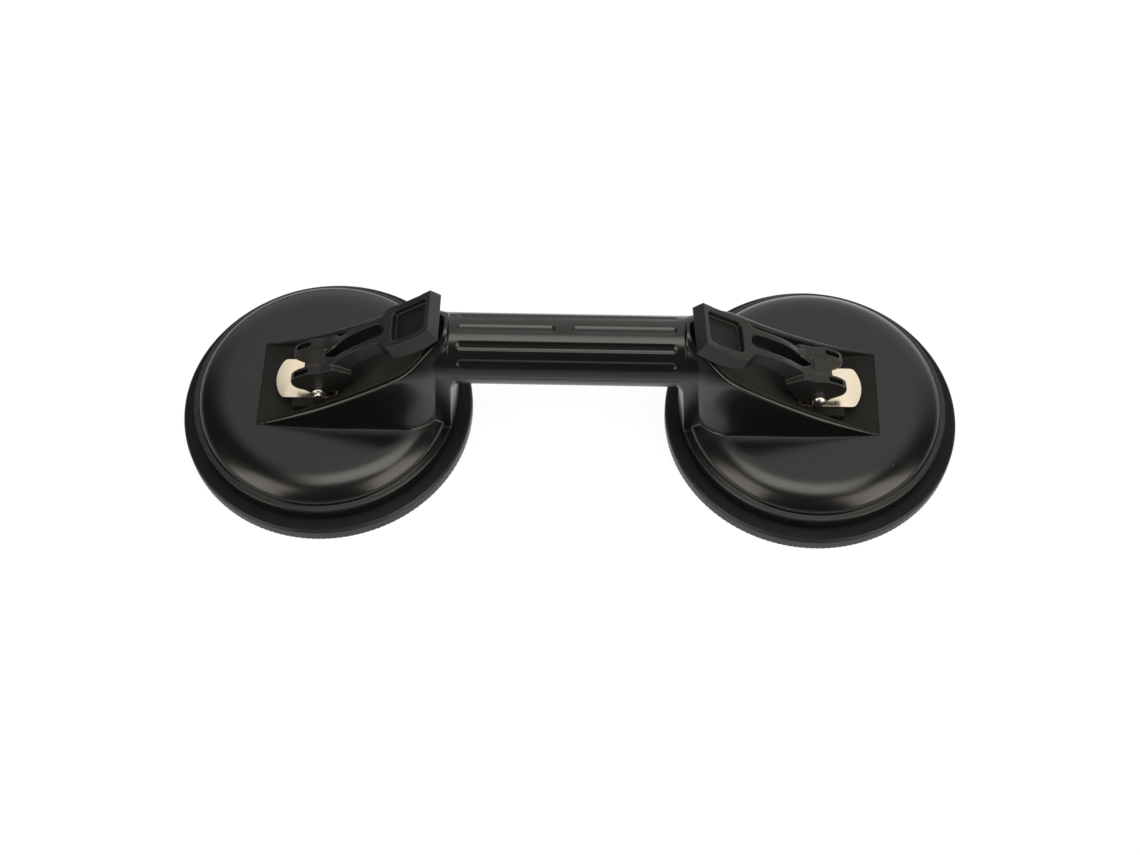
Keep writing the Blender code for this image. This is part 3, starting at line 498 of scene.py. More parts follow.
def neck_half(x, z, from_top):
    """Half width of the neck at height z; from_top is the angle from the collar's top."""
    outer_share = min(1.0, max(0.0, (x - SCOOP_START) / -SCOOP_START))
    base = BASE_HALF + BASE_OUTWARD * outer_share
    waist = COLLAR_R + (base - COLLAR_R) * 0.35 * (1 - outer_share * ease(x / WAIST_END))
    flare = min(1.0, max(0.0, (WAIST_TOP - z) / (WAIST_TOP - DOME_TOP)))
    full = waist + (base - waist) * flare ** 3
    kept = 1.0 - ease((math.degrees(from_top) - 4.0) / 56.0)
    at_crease = WEB_HALF + (COLLAR_R - WEB_HALF) * kept
    crease = crease_x(z, from_top)
    if x < crease:
        share = min(1.0, (crease - x) / CREASE_REACH)
        return full - (full - at_crease) * (1 - share) ** 2
    drop = 0.8 + 2.4 * ease(from_top / math.radians(60))
    return WEB_HALF + (at_crease - WEB_HALF) * max(0.0, 1 - (x - crease) / drop) ** 2


def rim_width(x):
    return RIM_FULL * (0.35 + 0.65 * ease((x - SCOOP_START) / -SCOOP_START))


def face_x(y, z):
    """Where the neck's inboard face stands: curved like the flange, with a fillet round the bar."""
    below = ease((AXIS_Z - z) / 6.0)
    curved = math.sqrt(max(0.0, FACE_RADIUS ** 2 - y * y)) + 0.05 * max(0.0, z - LEDGE_Z)
    reach = 0.7 + 2.4 * ease((AXIS_Z + 3 - z) / 6.0) - 1.1 * ease((AXIS_Z - 2 - z) / 10.0)
    near = min(max(reach - (math.hypot(y, z - AXIS_Z) - BAR_R), 0.0), reach)
    top = 0.75 * ease((z - AXIS_Z - 10.0) / 5.0)
    return NECK_FACE + top + below * (curved - NECK_FACE) + reach - math.sqrt(reach * reach - near * near)


# %% [markdown]
# Each section is drawn for one side only, from the bottom middle round to the middle of the scoop's
# floor, with the same number of points every time, and is then mirrored. resampled spaces points
# evenly along a line, and rounded_corner is a short curve that pulls towards the corner it replaces.

# %% Drawing tools for the sections
def lengths_along(line):
    """A line's points as an array, and how far along the line each one lies."""
    line = np.array(line, float)
    return line, np.concatenate([[0], np.cumsum(np.hypot(*np.diff(line, axis=0).T))])


def points_at(line, steps, wanted):
    return list(zip(np.interp(wanted, steps, line[:, 0]), np.interp(wanted, steps, line[:, 1])))


def resampled(line, count):
    line, steps = lengths_along(line)
    return points_at(line, steps, np.linspace(0, steps[-1], count))


def trimmed(line, start=0.0, end=0.0):
    """The line without this much of its length at its two ends."""
    line, steps = lengths_along(line)
    kept = steps[(steps > start) & (steps < steps[-1] - end)]
    return points_at(line, steps, np.concatenate([[start], kept, [steps[-1] - end]]))


def rounded_corner(start, corner, end, count):
    """Points of a curve between start and end, both left out."""
    points = []
    for i in range(1, count + 1):
        t = i / (count + 1)
        a, b, c = (1 - t) ** 2, 2 * t * (1 - t), t * t
        points.append(tuple(a * p + b * q + c * r for p, q, r in zip(start, corner, end)))
    return points


def outer_line(x, top):
    """The neck's outside from the dome up to height top, or right over the collar."""
    line = [(neck_half(x, z, math.pi / 2), z) for z in np.arange(12.0, AXIS_Z, 0.75) if z < top]
    if top < AXIS_Z:
        return line + [(neck_half(x, top, math.pi / 2), top)]
    for degrees in np.arange(0, 90.5, 1.5):
        angle = math.radians(degrees)
        radius = neck_half(x, AXIS_Z, math.pi / 2 - angle)
        y, z = radius * math.cos(angle), AXIS_Z + radius * math.sin(angle)
        if z > top:
            y0, z0 = line[-1]
            share = (top - z0) / (z - z0)
            return line + [(y0 + share * (y - y0), top)]
        line.append((max(y, 0.0), z))
    return line


def inner_line(x, top):
    """The scoop's wall from the rim at height top down to its floor."""
    low, rim = floor_height(x), rim_width(x)
    if top < AXIS_Z:
        half = neck_half(x, top, math.pi / 2) - rim
        return [(half, top), (half, low)]
    start = math.asin(max(0.0, low + 5.0 - AXIS_Z) / (COLLAR_R - RIM_FULL))
    line = []
    for angle in np.linspace(start, math.pi / 2, 60):
        radius = neck_half(x, AXIS_Z, math.pi / 2 - angle) - rim
        z = AXIS_Z + radius * math.sin(angle)
        if z > top:
            break
        line.append((radius * math.cos(angle), z))
    half = line[0][0]
    y0, z0 = line[-1]
    edge = math.sqrt(max(0.0, (math.hypot(y0, z0 - AXIS_Z)) ** 2 - (top - AXIS_Z) ** 2))
    return [(edge, top)] + line[::-1] + [(half, low)]


# %% [markdown]
# The rim's outer edge has a generous radius and its inner edge a tight one, which is why the real
# one shows a broad bright line outside and a thin one inside. Where the scoop ends, the section
# closes over: the points of the hollow move up to the rim's height.

# %% One cross section of the neck
def half_section(x, closed=0.0):
    """Points (y, z) of half a section; closed goes from 0, open scoop, to 1, solid collar."""
    top = min(ridge_height(x), AXIS_Z + COLLAR_R) if x < RIDGE_END else 200.0
    side = outer_line(x, top)
    side = [(y, z) for y, z in side if z > dome_height(math.hypot(x, y)) - 0.4]
    foot_y = side[0][0]
    height = max(0.1, side[-1][1] - dome_height(math.hypot(x, foot_y)))
    fillet = min(0.7, 0.45 * height)
    rise = [p for p in side if p[1] > dome_height(math.hypot(x, p[0])) + fillet]
    rise = rise if len(rise) > 1 else side[-2:]
    ground = dome_height(math.hypot(x, foot_y))
    out = foot_y + fillet
    out_z = dome_height(math.hypot(x, out)) - 0.03
    bottom = [(out * i / 6, dome_height(math.hypot(x, out * i / 6)) - 1.2) for i in range(7)]
    foot = [(out, out_z)] + rounded_corner((out, out_z), (foot_y, ground), rise[0], 5)
    edge_y, edge_z = side[-1]
    solid = top > 100
    rim = rim_width(x)
    outer_round = 0.0 if solid else min(1.6, 0.57 * rim, 0.5 * height, 0.8 * max(edge_y, 0.05))
    wall = resampled(trimmed(rise, 0, min(outer_round, 0.4 * height)) if outer_round else rise, 40)
    if solid:
        over = [(0.0, edge_z)] * 26
        return bottom + foot + wall + [(wall[-1][0], edge_z)] * 8 + over + [(0.0, edge_z)] * 6
    flat_end = (edge_y - outer_round, edge_z)
    rounding = rounded_corner(wall[-1], (edge_y, edge_z), flat_end, 8)
    shut = [(flat_end[0] * (1 - i / 31), edge_z) for i in range(32)]
    if closed >= 1:
        return bottom + foot + wall + rounding + shut
    inner = inner_line(x, top)
    inner_round = min(0.45, 0.3 * rim, 0.4 * (edge_z - floor_height(x)))
    inner_start = (inner[0][0] + inner_round, edge_z)
    flat = [flat_end] + [tuple(np.add(flat_end, np.subtract(inner_start, flat_end) * k)) for k in (0.5, 1.0)]
    corner_round = min(1.5, 0.45 * (edge_z - floor_height(x)))
    inside = resampled(trimmed(inner, inner_round, corner_round), 12)
    low_y, low_z = inner[-1]
    lip = rounded_corner(inner_start, (inner[0][0], edge_z), inside[0], 3)
    floor_start = (low_y - corner_round, low_z)
    cove = rounded_corner(inside[-1], (low_y, low_z), floor_start, 5)
    floor = [(floor_start[0] * (1 - i / 8), low_z) for i in range(9)]
    hollow = flat + lip + inside + cove + floor
    if closed > 0:
        hollow = [(a + (c - a) * closed, b + (d - b) * closed) for (a, b), (c, d) in zip(hollow, shut)]
    return bottom + foot + wall + rounding + hollow


def whole_ring(half, x_of):
    ring = [(x_of(y, z), y, z) for y, z in half]
    return ring + [(x, -y, z) for x, y, z in ring[-2:0:-1]]


# %% Lay out the neck's sections
def neck_rings():
    rings = []
    start = half_section(SCOOP_START)
    rings.append(whole_ring([(y, z - 0.5) for y, z in start], lambda y, z: SCOOP_START - 0.6))
    stations = [SCOOP_START] + list(np.arange(-25.3, -22, 0.3)) + list(np.arange(-22, 28, 0.8))
    stations += list(np.arange(28, 43, 0.6)) + list(np.arange(43, 46.01, 0.4))
    for x in stations:
        rings.append(whole_ring(half_section(x), lambda y, z, x=x: x))
    for angle in range(0, 91, 18):
        closed = 1 - math.cos(math.radians(angle))
        x = SCOOP_END + 0.5 * math.sin(math.radians(angle)) - 0.2
        rings.append(whole_ring(half_section(x, closed), lambda y, z, x=x: x))
    for s in list(np.arange(47.3, 51, 0.4)) + list(np.arange(51, 53.001, 0.125)):
        pull = ease((s - 49.5) / 3.5)
        def placed(y, z, s=s, pull=pull):
            return s + pull * (face_x(y, z) - NECK_FACE)
        rings.append(whole_ring(half_section(s, 1.0), placed))
    return rings


def inset_ring(half, by):
    """The half section moved inwards along its own normals."""
    line = np.array(half)
    before, after = np.roll(line, 1, axis=0), np.roll(line, -1, axis=0)
    before[0], after[-1] = line[0] * (-1, 1), line[-1] * (-1, 1)
    along = after - before
    along /= np.maximum(np.hypot(along[:, 0], along[:, 1]), 1e-9)[:, None]
    inward = np.stack([-along[:, 1], along[:, 0]], axis=1)
    return [tuple(p) for p in line + inward * by]


rings = neck_rings()
end = half_section(NECK_FACE, 1.0)
EDGE_ROUND = 0.45
for angle in range(15, 91, 15):
    inset = EDGE_ROUND * (1 - math.cos(math.radians(angle)))
    back = EDGE_ROUND * (1 - math.sin(math.radians(angle)))
    ring = []
    for (y, z), (y_in, z_in) in zip(end, inset_ring(end, inset)):
        share = min(1.0, max(0.0, 0.5 * (math.hypot(y, z - AXIS_Z) - BAR_R - 0.06)))
        ring.append((max(0.0, y + (y_in - y) * share), z + (z_in - z) * share))
    rings.append(whole_ring(ring, lambda y, z, back=back: face_x(y, z) + EDGE_ROUND - back))
last = ring
STILL_OUTSIDE = (0.86, 0.72, 0.59, 0.47, 0.37, 0.28, 0.21, 0.15, 0.105, 0.07, 0.045, 0.027, 0.015, 0.007,
                 0.002, 0.0, -1.0)
for left in STILL_OUTSIDE:
    ring = []
    for y, z in last:
        away = math.hypot(y, z - AXIS_Z)
        target = (BAR_R + left * (away - BAR_R) if left >= 0 else BAR_R - 0.4) / away
        ring.append((y * target, AXIS_Z + (z - AXIS_Z) * target))
    rings.append(whole_ring(ring, lambda y, z: face_x(y, z) + EDGE_ROUND))
neck = rolled_grid("neck_and_scoop", rings)
print("neck:", len(rings), "sections of", len(rings[0]), "points")

# %% [markdown]
# The scoop's floor lies a little below the dome's top, so the dome is cut open under it. In the
# scoop stands a low boss that carries the wear plate. The stud comes up through a guide hole in
# both, and the return spring sits in a pocket below, so one spun cutter clears all of that.

# %% Open the dome, add the boss and the guide hole
def scoop_outline():
    xs = [SCOOP_START + 35.5 * i / 8 for i in range(9)]
    line = [(x, neck_half(x, ridge_height(x), math.pi / 2) - 0.6 * rim_width(x)) for x in xs]
    return line + [(x, -y) for x, y in reversed(line)]


cut(dome, pushed_outline("scoop_opening", scoop_outline(), 20.6, 30, "Z"))
round_shading(dome, 30)
boss = block("boss", (-11.5, -12.4, 20.4), (5.0, 12.4, 24.7))
apply_modifier(boss, "BEVEL", width=0.45 * MM, segments=3, limit_method="ANGLE")
round_shading(boss, 50)


def guide_cutter():
    section = [(0, 15), (POCKET_R, 15), (POCKET_R, POCKET_ROOF), (GUIDE_R, POCKET_ROOF), (GUIDE_R, 60), (0, 60)]
    return spun_piece("guide_cutter", section, 64)


for piece in (neck, boss):
    cut(piece, guide_cutter())
    round_shading(piece, 35 if piece is neck else 50)

# %% [markdown]
# The handle is two mouldings. The lower one is the underside of the bar together with a panel down
# the neck's inboard face, and the parting line between them runs along the bar's widest line. The
# panel is the same loft as the neck, kept only where the cover lies, with a hair's gap all round.

# %% Part the cover's panel from the neck
def panel_zone(inset):
    half = WEB_HALF - 1.5 - inset
    return block("panel_zone", (50.0 + inset, -half, 14.5 + inset), (70.0, half, AXIS_Z - inset))


panel = copy_of(neck)
cut(panel, panel_zone(0.09), "INTERSECT")
cut(neck, panel_zone(0.0))
for piece in (neck, panel):
    round_shading(piece, 35)
print("neck", len(neck.data.polygons), "faces, panel", len(panel.data.polygons))

# %% Put the housing on both cups
def roughen_scoop(piece):
    """Gives the scoop's floor and its inner walls their matt finish, which also carries the painted sheen."""
    piece.data.materials.append(SCOOP_MATT_SHEEN_ABS)
    for face in piece.data.polygons:
        x, y, z = face.center / MM
        inside = abs(y) < neck_half(x, z, math.pi / 2) - 0.75 * rim_width(x)
        if x < 44.0 and z > floor_height(x) - 0.1 and inside and face.normal.y * y <= 0.0:
            face.material_index = 1


for piece, name in ((dome, "housing_dome"), (neck, "housing_neck"), (boss, "plate_boss")):
    paint(piece, SCOOP_MATT_SHEEN_ABS if piece is boss else HOUSING_ABS)
    if piece is neck:
        roughen_scoop(piece)
    on_both_cups(piece, name, "housing", "body_shell")
paint(panel, COVER_ABS)
on_both_cups(panel, "cover_panel", "housing", "handle_underside")

# %% [markdown]
# ## The bar handle
# Five rows of shallow round-ended grooves give the palm something to hold. The top row is broken in
# the middle. Each groove is a flat V: two narrow facets that lean towards each other, so one of them
# catches a light that the other misses. The upper half of the tube is a rolled grid whose rows are
# close together only where a facet begins or ends, and the depth of a groove depends on the distance
# from its middle line.

# %% Roll the upper half of the bar
GROOVES = (-60, -31.5, -0.8, 29.3, 58.3)
GROOVE_HALF, GROOVE_DEPTH, GROOVE_SLOPE, GROOVE_REACH = 1.9, 0.52, math.tan(math.radians(23)), 42.7
TOP_ROW, BREAK_X, BREAK_HALF = 2, -1.2, 3.1
BORE_R = BAR_R - 3.0
SEAM_GAP, SIDE_END = 0.03, 88.6


def groove_depth(x, degrees):
    """How far the surface lies below the plain round at a place on the bar."""
    depth = 0.0
    for row, centre in enumerate(GROOVES):
        across = math.radians(degrees - centre) * BAR_R
        along = max(0.0, abs(x) - (GROOVE_REACH - GROOVE_HALF))
        if row == TOP_ROW:
            along = max(along, BREAK_HALF + GROOVE_HALF - abs(x - BREAK_X))
        away = math.sqrt(across * across + along * along + 0.006)
        inside = (GROOVE_HALF - away + math.sqrt((GROOVE_HALF - away) ** 2 + 0.004)) / 2
        wall = inside * (GROOVE_SLOPE + away / (2 * BAR_R))
        flat = GROOVE_DEPTH - min(away, GROOVE_HALF) ** 2 / (2 * BAR_R)
        depth = max(depth, (wall + flat - math.sqrt((wall - flat) ** 2 + 0.002)) / 2)
    return depth if depth > 0.002 else 0.0


def close_near(middles, spread_out, gaps):
    places = set()
    for middle in middles:
        for gap in gaps:
            for sign in (-1, 1):
                place = round(middle + sign * gap, 4)
                if abs(place) <= spread_out:
                    places.add(place)
    return sorted(places)


EDGE = math.degrees(GROOVE_HALF / BAR_R)
steps = [0, 1.4, 2.1, 2.7, 3.3, 4.6] + [EDGE + gap for gap in (-1.2, -0.6, -0.25, 0.0, 0.25, 0.6, 1.3, 4.0)]
across = [a for a in close_near(GROOVES, SIDE_END, steps) if abs(a) < SIDE_END - 0.3]
across = sorted(set(across + [sign * a for sign in (-1, 1) for a in (80.5, 84.5, SIDE_END)]))
BAR_END = CUP_X - 52.0
along = close_near((BREAK_X,), BAR_END, np.arange(0, 5.6, 0.25))
along += close_near((0,), BAR_END, np.arange(7.5, 38.3, 1.5))
along += [s * x for s in (-1, 1) for x in list(np.arange(38.5, 43, 0.2)) + [43.4, 44.2, 45.5, BAR_END]]
along = sorted(set(round(x, 4) for x in along))


def inside_line(x, up, edge):
    """From one seam edge round the bore to the other; up is 1 for the upper half, -1 for the lower."""
    def seam(side):
        return [(x, side * (BAR_R - inset), AXIS_Z + up * (SEAM_GAP + lift)) for inset, lift in edge]
    bore = []
    for degrees in range(80, -81, -20):
        a = math.radians(degrees)
        bore.append((x, -up * BORE_R * math.sin(a), AXIS_Z + up * BORE_R * math.cos(a)))
    return seam(-up) + bore + seam(up)[::-1]


def bar_ring(x):
    ring = []
    for degrees in across:
        radius = BAR_R - groove_depth(x, degrees)
        a = math.radians(degrees)
        ring.append((x, -radius * math.sin(a), AXIS_Z + radius * math.cos(a)))
    return ring + inside_line(x, 1, ((0.03, 0.16), (0.10, 0.06), (0.25, 0.0), (3.0, 0.0)))


grip_top = rolled_grid("grip_upper_half", [bar_ring(x) for x in along], sharp=30)
paint(grip_top, HOUSING_ABS)
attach(grip_top, "housing")
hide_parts("body_shell")
print("upper half of the grip:", len(grip_top.data.polygons), "faces")

# %% Roll the lower half of the bar
def under_ring(x):
    ring = []
    for degrees in np.arange(-89.2, 89.3, 2.1):
        a = math.radians(degrees)
        ring.append((x, BAR_R * math.sin(a), AXIS_Z - BAR_R * math.cos(a)))
    return ring + inside_line(x, -1, ((0.08, 0.08), (0.25, 0.0), (3.0, 0.0)))


grip_under = rolled_grid("grip_lower_half", [under_ring(x) for x in np.linspace(-BAR_END, BAR_END, 49)], sharp=30)
paint(grip_under, COVER_ABS)
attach(grip_under, "housing")
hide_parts("handle_underside")

# %% [markdown]
# ## The rubber discs
# Each disc is spun as well: a thick rim that seals, a thin web that bends, and a hub round the
# anchor plate in the middle. The rim's lower edge is moulded with a row of tiny teeth. When the
# lever is thrown, the hub follows the stud while the rim stays where it is. A share that depends on
# the distance from the middle is worked out for each point, but nothing uses it, so the disc keeps
# its spun shape and is joined to neither body.

# %% Spin a disc and tooth its rim
RIM_TOP, RIM_EDGE, RIM_BREAK, RIM_WIDTH = 7.0, 6.3, 53.6, 13.0
TEETH, TOOTH_DEPTH, TOOTH_TOP = 168, 0.16, 1.4
BEND_OUT, BEND_IN = 47.0, 21.9


def disc_section():
    rim_in = DISC_RADIUS - RIM_WIDTH
    under = [(0, 1.0), (rim_in * 0.5, 0.7), (rim_in, 0.0), (DISC_RADIUS - 1.6, 0.0), (DISC_RADIUS - 0.9, 0.0)]
    edge = arc(DISC_RADIUS - 0.5, 0.5, 0.5, -90, 0, 4) + [(DISC_RADIUS, z) for z in (1.2, 3.0, 4.8)]
    edge += arc(DISC_RADIUS - 1.3, RIM_EDGE - 1.2, 1.3, 0, 83, 8)
    inside = [(RIM_BREAK, RIM_TOP), (rim_in + 0.5, RIM_TOP), (rim_in, RIM_TOP - 0.3), (rim_in - 1.2, 4.9)]
    hub = [(21.8, 4.7), (21.3, 5.0), (20.6, 8.0), (20.0, 8.4), (11.8, 8.4), (11.6, 8.2), (11.6, 7.1)]
    return under + edge + inside + hub + [(18.6, 7.1), (18.6, 3.5), (0, 3.5)]


disc = spun_piece("suction_disc", disc_section(), TEETH * 4, sharp=50)
for vertex in disc.data.vertices:
    x, y, z = vertex.co / MM
    radius = math.hypot(x, y)
    if radius > DISC_RADIUS - 1.0 and z < TOOTH_TOP:
        wave = 0.5 + 0.5 * math.cos(TEETH * math.atan2(y, x))
        fade = ease((TOOTH_TOP - z) / 1.1) * ease((radius - DISC_RADIUS + 1.0) / 0.6)
        keep = (DISC_RADIUS - TOOTH_DEPTH * wave * fade) / DISC_RADIUS
        vertex.co = Vector((x * keep, y * keep, z)) * MM
paint(disc, RUBBER)
disc.data.materials.append(RIM_TOP_SHADED_RUBBER)
# The rim's flat top faces get the darker copy of the rubber: painted shade, together with a lower specular.
for face in disc.data.polygons:
    if face.normal.z > 0.97 and face.center.z > 5.5 * MM and face.center.xy.length > 40 * MM:
        face.material_index = 1
for side, piece, x in pair(disc, "suction_disc", 0):
    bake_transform(piece)
    places = np.array([v.co for v in piece.data.vertices])
    radius = np.hypot(places[:, 0] - x * MM, places[:, 1]) / MM
    share = np.clip((BEND_OUT - radius) / (BEND_OUT - BEND_IN), 0, 1)
    share = (share * share * (3 - 2 * share)).astype(np.float32)
    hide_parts(side + "_rubber_disc")

# %% [markdown]
# ## The wear plate
# A strip of nickel-plated steel, bowed at its outboard end and curled up at the other, so that the
# cam can't dig into the plastic. Its side view is pushed out to the strip's width, its plan outline
# trims it, and a bevel of a tenth of a millimetre gives the sheared edge that flashes in the light.

# %% Bend and trim a wear plate
def plate_profile():
    curl = [math.radians(52 * i / 10) for i in range(11)]
    top = [(-21, PLATE_TOP), (-10, PLATE_TOP)]
    top += [(2 + 6 * math.sin(a), PLATE_TOP + 6 - 6 * math.cos(a)) for a in curl]
    under = [(2 + 7 * math.sin(a), PLATE_TOP + 6 - 7 * math.cos(a)) for a in reversed(curl)]
    return top + under + [(-10, PLATE_TOP - 1), (-21, PLATE_TOP - 1)]


def plate_outline():
    spread_by = math.degrees(math.asin((9.0 - 1.6) / 15.0))
    bow = arc(-3.5, 0, 15.0, 180 - spread_by, 180 + spread_by, 18)
    x, y = bow[-1]
    corner = rounded_corner((x, y), (x + 0.75, -9.0), (x + 2.3, -9.0), 4) + [(x + 2.3, -9.0)]
    lower = bow + corner + [(7.0, -9.0), (7.9, -8.6), (20, -8.6)]
    return lower + [(20, 8.6), (7.9, 8.6), (7.0, 9.0)] + [(a, -b) for a, b in reversed(corner)]


plate = pushed_outline("cam_plate", plate_profile(), -12, 12)
cut(plate, pushed_outline("plate_trim", plate_outline(), 20, 50, "Z"), "INTERSECT")
cut(plate, spun_piece("plate_hole", [(0, 20), (GUIDE_R, 20), (GUIDE_R, 50), (0, 50)], 64))
apply_modifier(plate, "BEVEL", width=0.24 * MM, segments=3, limit_method="ANGLE", angle_limit=math.radians(50))
round_shading(plate, 40)
paint(plate, NICKEL)
on_both_cups(plate, "cam_plate", "housing", "wear_plate")

# %% [markdown]
# ## Stud, pin and retaining ring
# The stud is a plain post with a crowned top and a cross hole. The pin is turned: a domed head at
# one end and a grooved tail at the other, where a split ring snaps in. All three are spun upright,
# and the pin and the ring are then laid down along Y.

# %% Turn the stud
stud_side = [(0, 3.8), (3.0, 3.8), (3.0, 7.4), (4.0, 7.4), (4.0, STUD_TOP - 2.2)]
stud = spun_piece("lift_stud", stud_side + arc(0, STUD_TOP - 4.0, 4.0, 26, 90, 10)[1:], 64, sharp=40)


def lay_down(piece):
    """Turns a piece that was spun upright onto the pin's axis."""
    return settle(piece, (0, 0, PIN_Z), (-90, 0, 0))


cut(stud, lay_down(spun_piece("cross_hole", [(0, -9), (2.3, -9), (2.3, 9), (0, 9)], 48)))
round_shading(stud, 40)
paint(stud, ZINC)
on_both_cups(stud, "lift_stud", "stud", "draw_stud", swivel=RIGHT_STUD_TURN)

# %% Turn the pin and its ring
head = [(0, 10.75)] + arc(0, 8.95, 2.8, 78, 12, 9, tall=1.8) + [(2.8, 9.0), (2.7, 8.7), (2.0, 8.65)]
tail = [(2.0, -8.8), (1.5, -8.85), (1.5, -10.0), (1.8, -10.05), (1.8, -11.2), (1.65, -11.45), (1.4, -11.55)]
pin = lay_down(spun_piece("cross_pin", head + tail + [(0, -11.55)], 48, sharp=40))
paint(pin, ZINC)
on_both_cups(pin, "cross_pin", "stud", "pivot_pin", swivel=RIGHT_STUD_TURN)

wire = arc(2.1, -9.45, 0.6, 0, 360, 20, tall=0.6)
clip = lay_down(spun_piece("split_ring", wire[:-1] + [wire[0]], 64, sharp=60))
cut(clip, block("split", (-0.5, -12, PIN_Z - 5), (0.5, -8, PIN_Z - 1)))
round_shading(clip, 50)
paint(clip, ZINC)
on_both_cups(clip, "split_ring", "stud", "retaining_ring", swivel=RIGHT_STUD_TURN)

# %% [markdown]
# ## The cam lever
# The lever is one moulding in glass-filled nylon. A slim arm with a long slot runs from a square
# thumb pad, which has a shallow tray in it, down to a crossbar, and two cam lobes straddle the stud
# and the pin. It could be modelled with bevels on every edge, but so many curved faces meet at odd
# angles that bevels would break. So the plain solids are joined and cut first, and the result is
# then remeshed in fine voxels and smoothed a little: every edge gets the soft radius of a moulding.

# %% Side view and widths of the arm
# Each station: top point (x, z), bottom point (x, z), half width at the top and at the bottom.
ARM = (
    ((2.0, 43.2), (6.5, 38.0), 6.9, 6.9),
    ((4.8, 44.8), (9.0, 37.4), 5.9, 6.3),
    ((8.8, 48.0), (12.3, 39.0), 5.4, 6.1),
    ((12.5, 52.1), (15.0, 43.6), 5.6, 6.4),
    ((16.4, 55.7), (18.3, 48.7), 5.7, 6.6),
    ((21.6, 59.4), (23.2, 53.0), 5.5, 6.6),
    ((26.0, 62.2), (28.0, 56.2), 5.8, 6.9),
    ((27.6, 63.0), (29.8, 57.0), 6.3, 7.3),
    ((30.4, 64.5), (33.0, 58.4), 9.4, 10.5),
    ((33.5, 66.1), (36.0, 59.9), 9.6, 10.8),
    ((36.7, 68.2), (39.8, 62.0), 9.7, 10.9),
    ((43.0, 72.9), (46.2, 66.9), 9.6, 10.8),
    ((47.5, 77.2), (51.4, 72.1), 9.4, 10.6),
)
LOBE = (
    (0.0, 26.35), (-1.4, 26.6), (-3.2, 27.8), (-5.1, 29.9), (-8.0, 31.3), (-9.7, 32.8), (-10.4, 34.6),
    (-10.5, 36.6), (-10.1, 38.3), (-8.8, 39.8), (-6.6, 41.2), (-4.0, 42.2), (-0.3, 43.2), (2.5, 43.8),
    (4.8, 44.9), (7.2, 46.0), (14.9, 42.9), (14.4, 41.3), (13.5, 39.6), (11.5, 35.5), (9.4, 31.6),
    (7.5, 30.2), (5.1, 29.0), (3.0, 27.6), (1.4, 26.6),
)
LOBE_OUT, LOBE_IN = 8.25, 4.3
PAD_START, PAD_TIP = ARM[8][0], ARM[-1][0]
TRAY_HALF, TRAY_CORNER = 7.3, 2.2


def arm_rings():
    rings = []
    for (tx, tz), (bx, bz), top_half, low_half in ARM:
        ring = []
        middle_half = (top_half + low_half) / 2
        for share, half in ((0.0, top_half), (0.12, top_half + 0.05), (0.5, middle_half), (1.0, low_half)):
            ring.append((tx + (bx - tx) * share, half, tz + (bz - tz) * share))
        ring += [(x, -y, z) for x, y, z in reversed(ring)]
        rings.append(ring)
    return rings


# %% Join the plain solids
lever = rolled_grid("cam_lever", arm_rings())
for low, high in ((LOBE_IN, LOBE_OUT), (-LOBE_OUT, -LOBE_IN)):
    cut(lever, pushed_outline("lobe", LOBE, low, high), "UNION")
crossbar = [(-4.6, 38.6), (-4.6, 41.6), (-2.0, 42.6), (1.5, 43.4), (4.8, 44.7), (7.0, 45.6), (8.6, 43.5),
            (6.0, 38.6)]
cut(lever, pushed_outline("crossbar", crossbar, -LOBE_OUT + 0.1, LOBE_OUT - 0.1), "UNION")


# %% Cut the slot, the tray, the pockets and the bore
def slot_outline():
    v_end = [(3.2, 0.0), (6.0, -1.5), (8.5, -2.4), (11.5, -2.9), (15.0, -3.1)]
    round_end = arc(25.8, 0, 3.15, -90, 90, 12)
    return v_end + round_end + [(x, -y) for x, y in reversed(v_end[1:])]


def rounded_rectangle(half_x, half_y, radius):
    corners = ((1, 1, 0), (-1, 1, 90), (-1, -1, 180), (1, -1, 270))
    line = []
    for sx, sy, start in corners:
        line += arc(sx * (half_x - radius), sy * (half_y - radius), radius, start, start + 90, 6)
    return line


def tray_cutter():
    (start_x, start_z), (tip_x, tip_z) = PAD_START, PAD_TIP
    slope = math.degrees(math.atan2(tip_z - start_z, tip_x - start_x))
    half = math.dist(PAD_START, PAD_TIP) / 2 - 1.8
    rings = []
    for depth, inset in ((-2.5, 1.4), (-2.4, 1.0), (-2.1, 0.75), (-1.5, 0.6), (0.0, 0.2), (0.4, 0.0), (9, 0.0)):
        corner = max(0.5, TRAY_CORNER - 0.6 * inset)
        outline = rounded_rectangle(half - inset, TRAY_HALF - inset, corner)
        rings.append([(x, y, depth) for x, y in outline])
    middle = ((start_x + tip_x) / 2, 0, (start_z + tip_z) / 2 - 0.3)
    return settle(rolled_grid("tray", rings), middle, (0, -slope, 0))


cut(lever, pushed_outline("arm_slot", slot_outline(), 30, 90, "Z"))
cut(lever, tray_cutter())
gusset = [(2.6, 43.0), (9.0, 47.3), (9.0, 60), (2.6, 60)]
cut(lever, pushed_outline("gusset_step", gusset, -2.6, 2.6))
fork = [(-30, 0), (15.0, 0), (15.0, 30.0), (6.2, 38.6), (-30, 38.6)]
cut(lever, pushed_outline("fork_gap", fork, -LOBE_IN, LOBE_IN))
for side in (-1, 1):
    near, far = sorted((side * 5.2, side * 7.35))
    cut(lever, block("pocket", (-9.3, near, 35.5), (-3.0, far, 60)))
cut(lever, lay_down(spun_piece("bore", [(0, -12), (2.35, -12), (2.35, 12), (0, 12)], 48)))

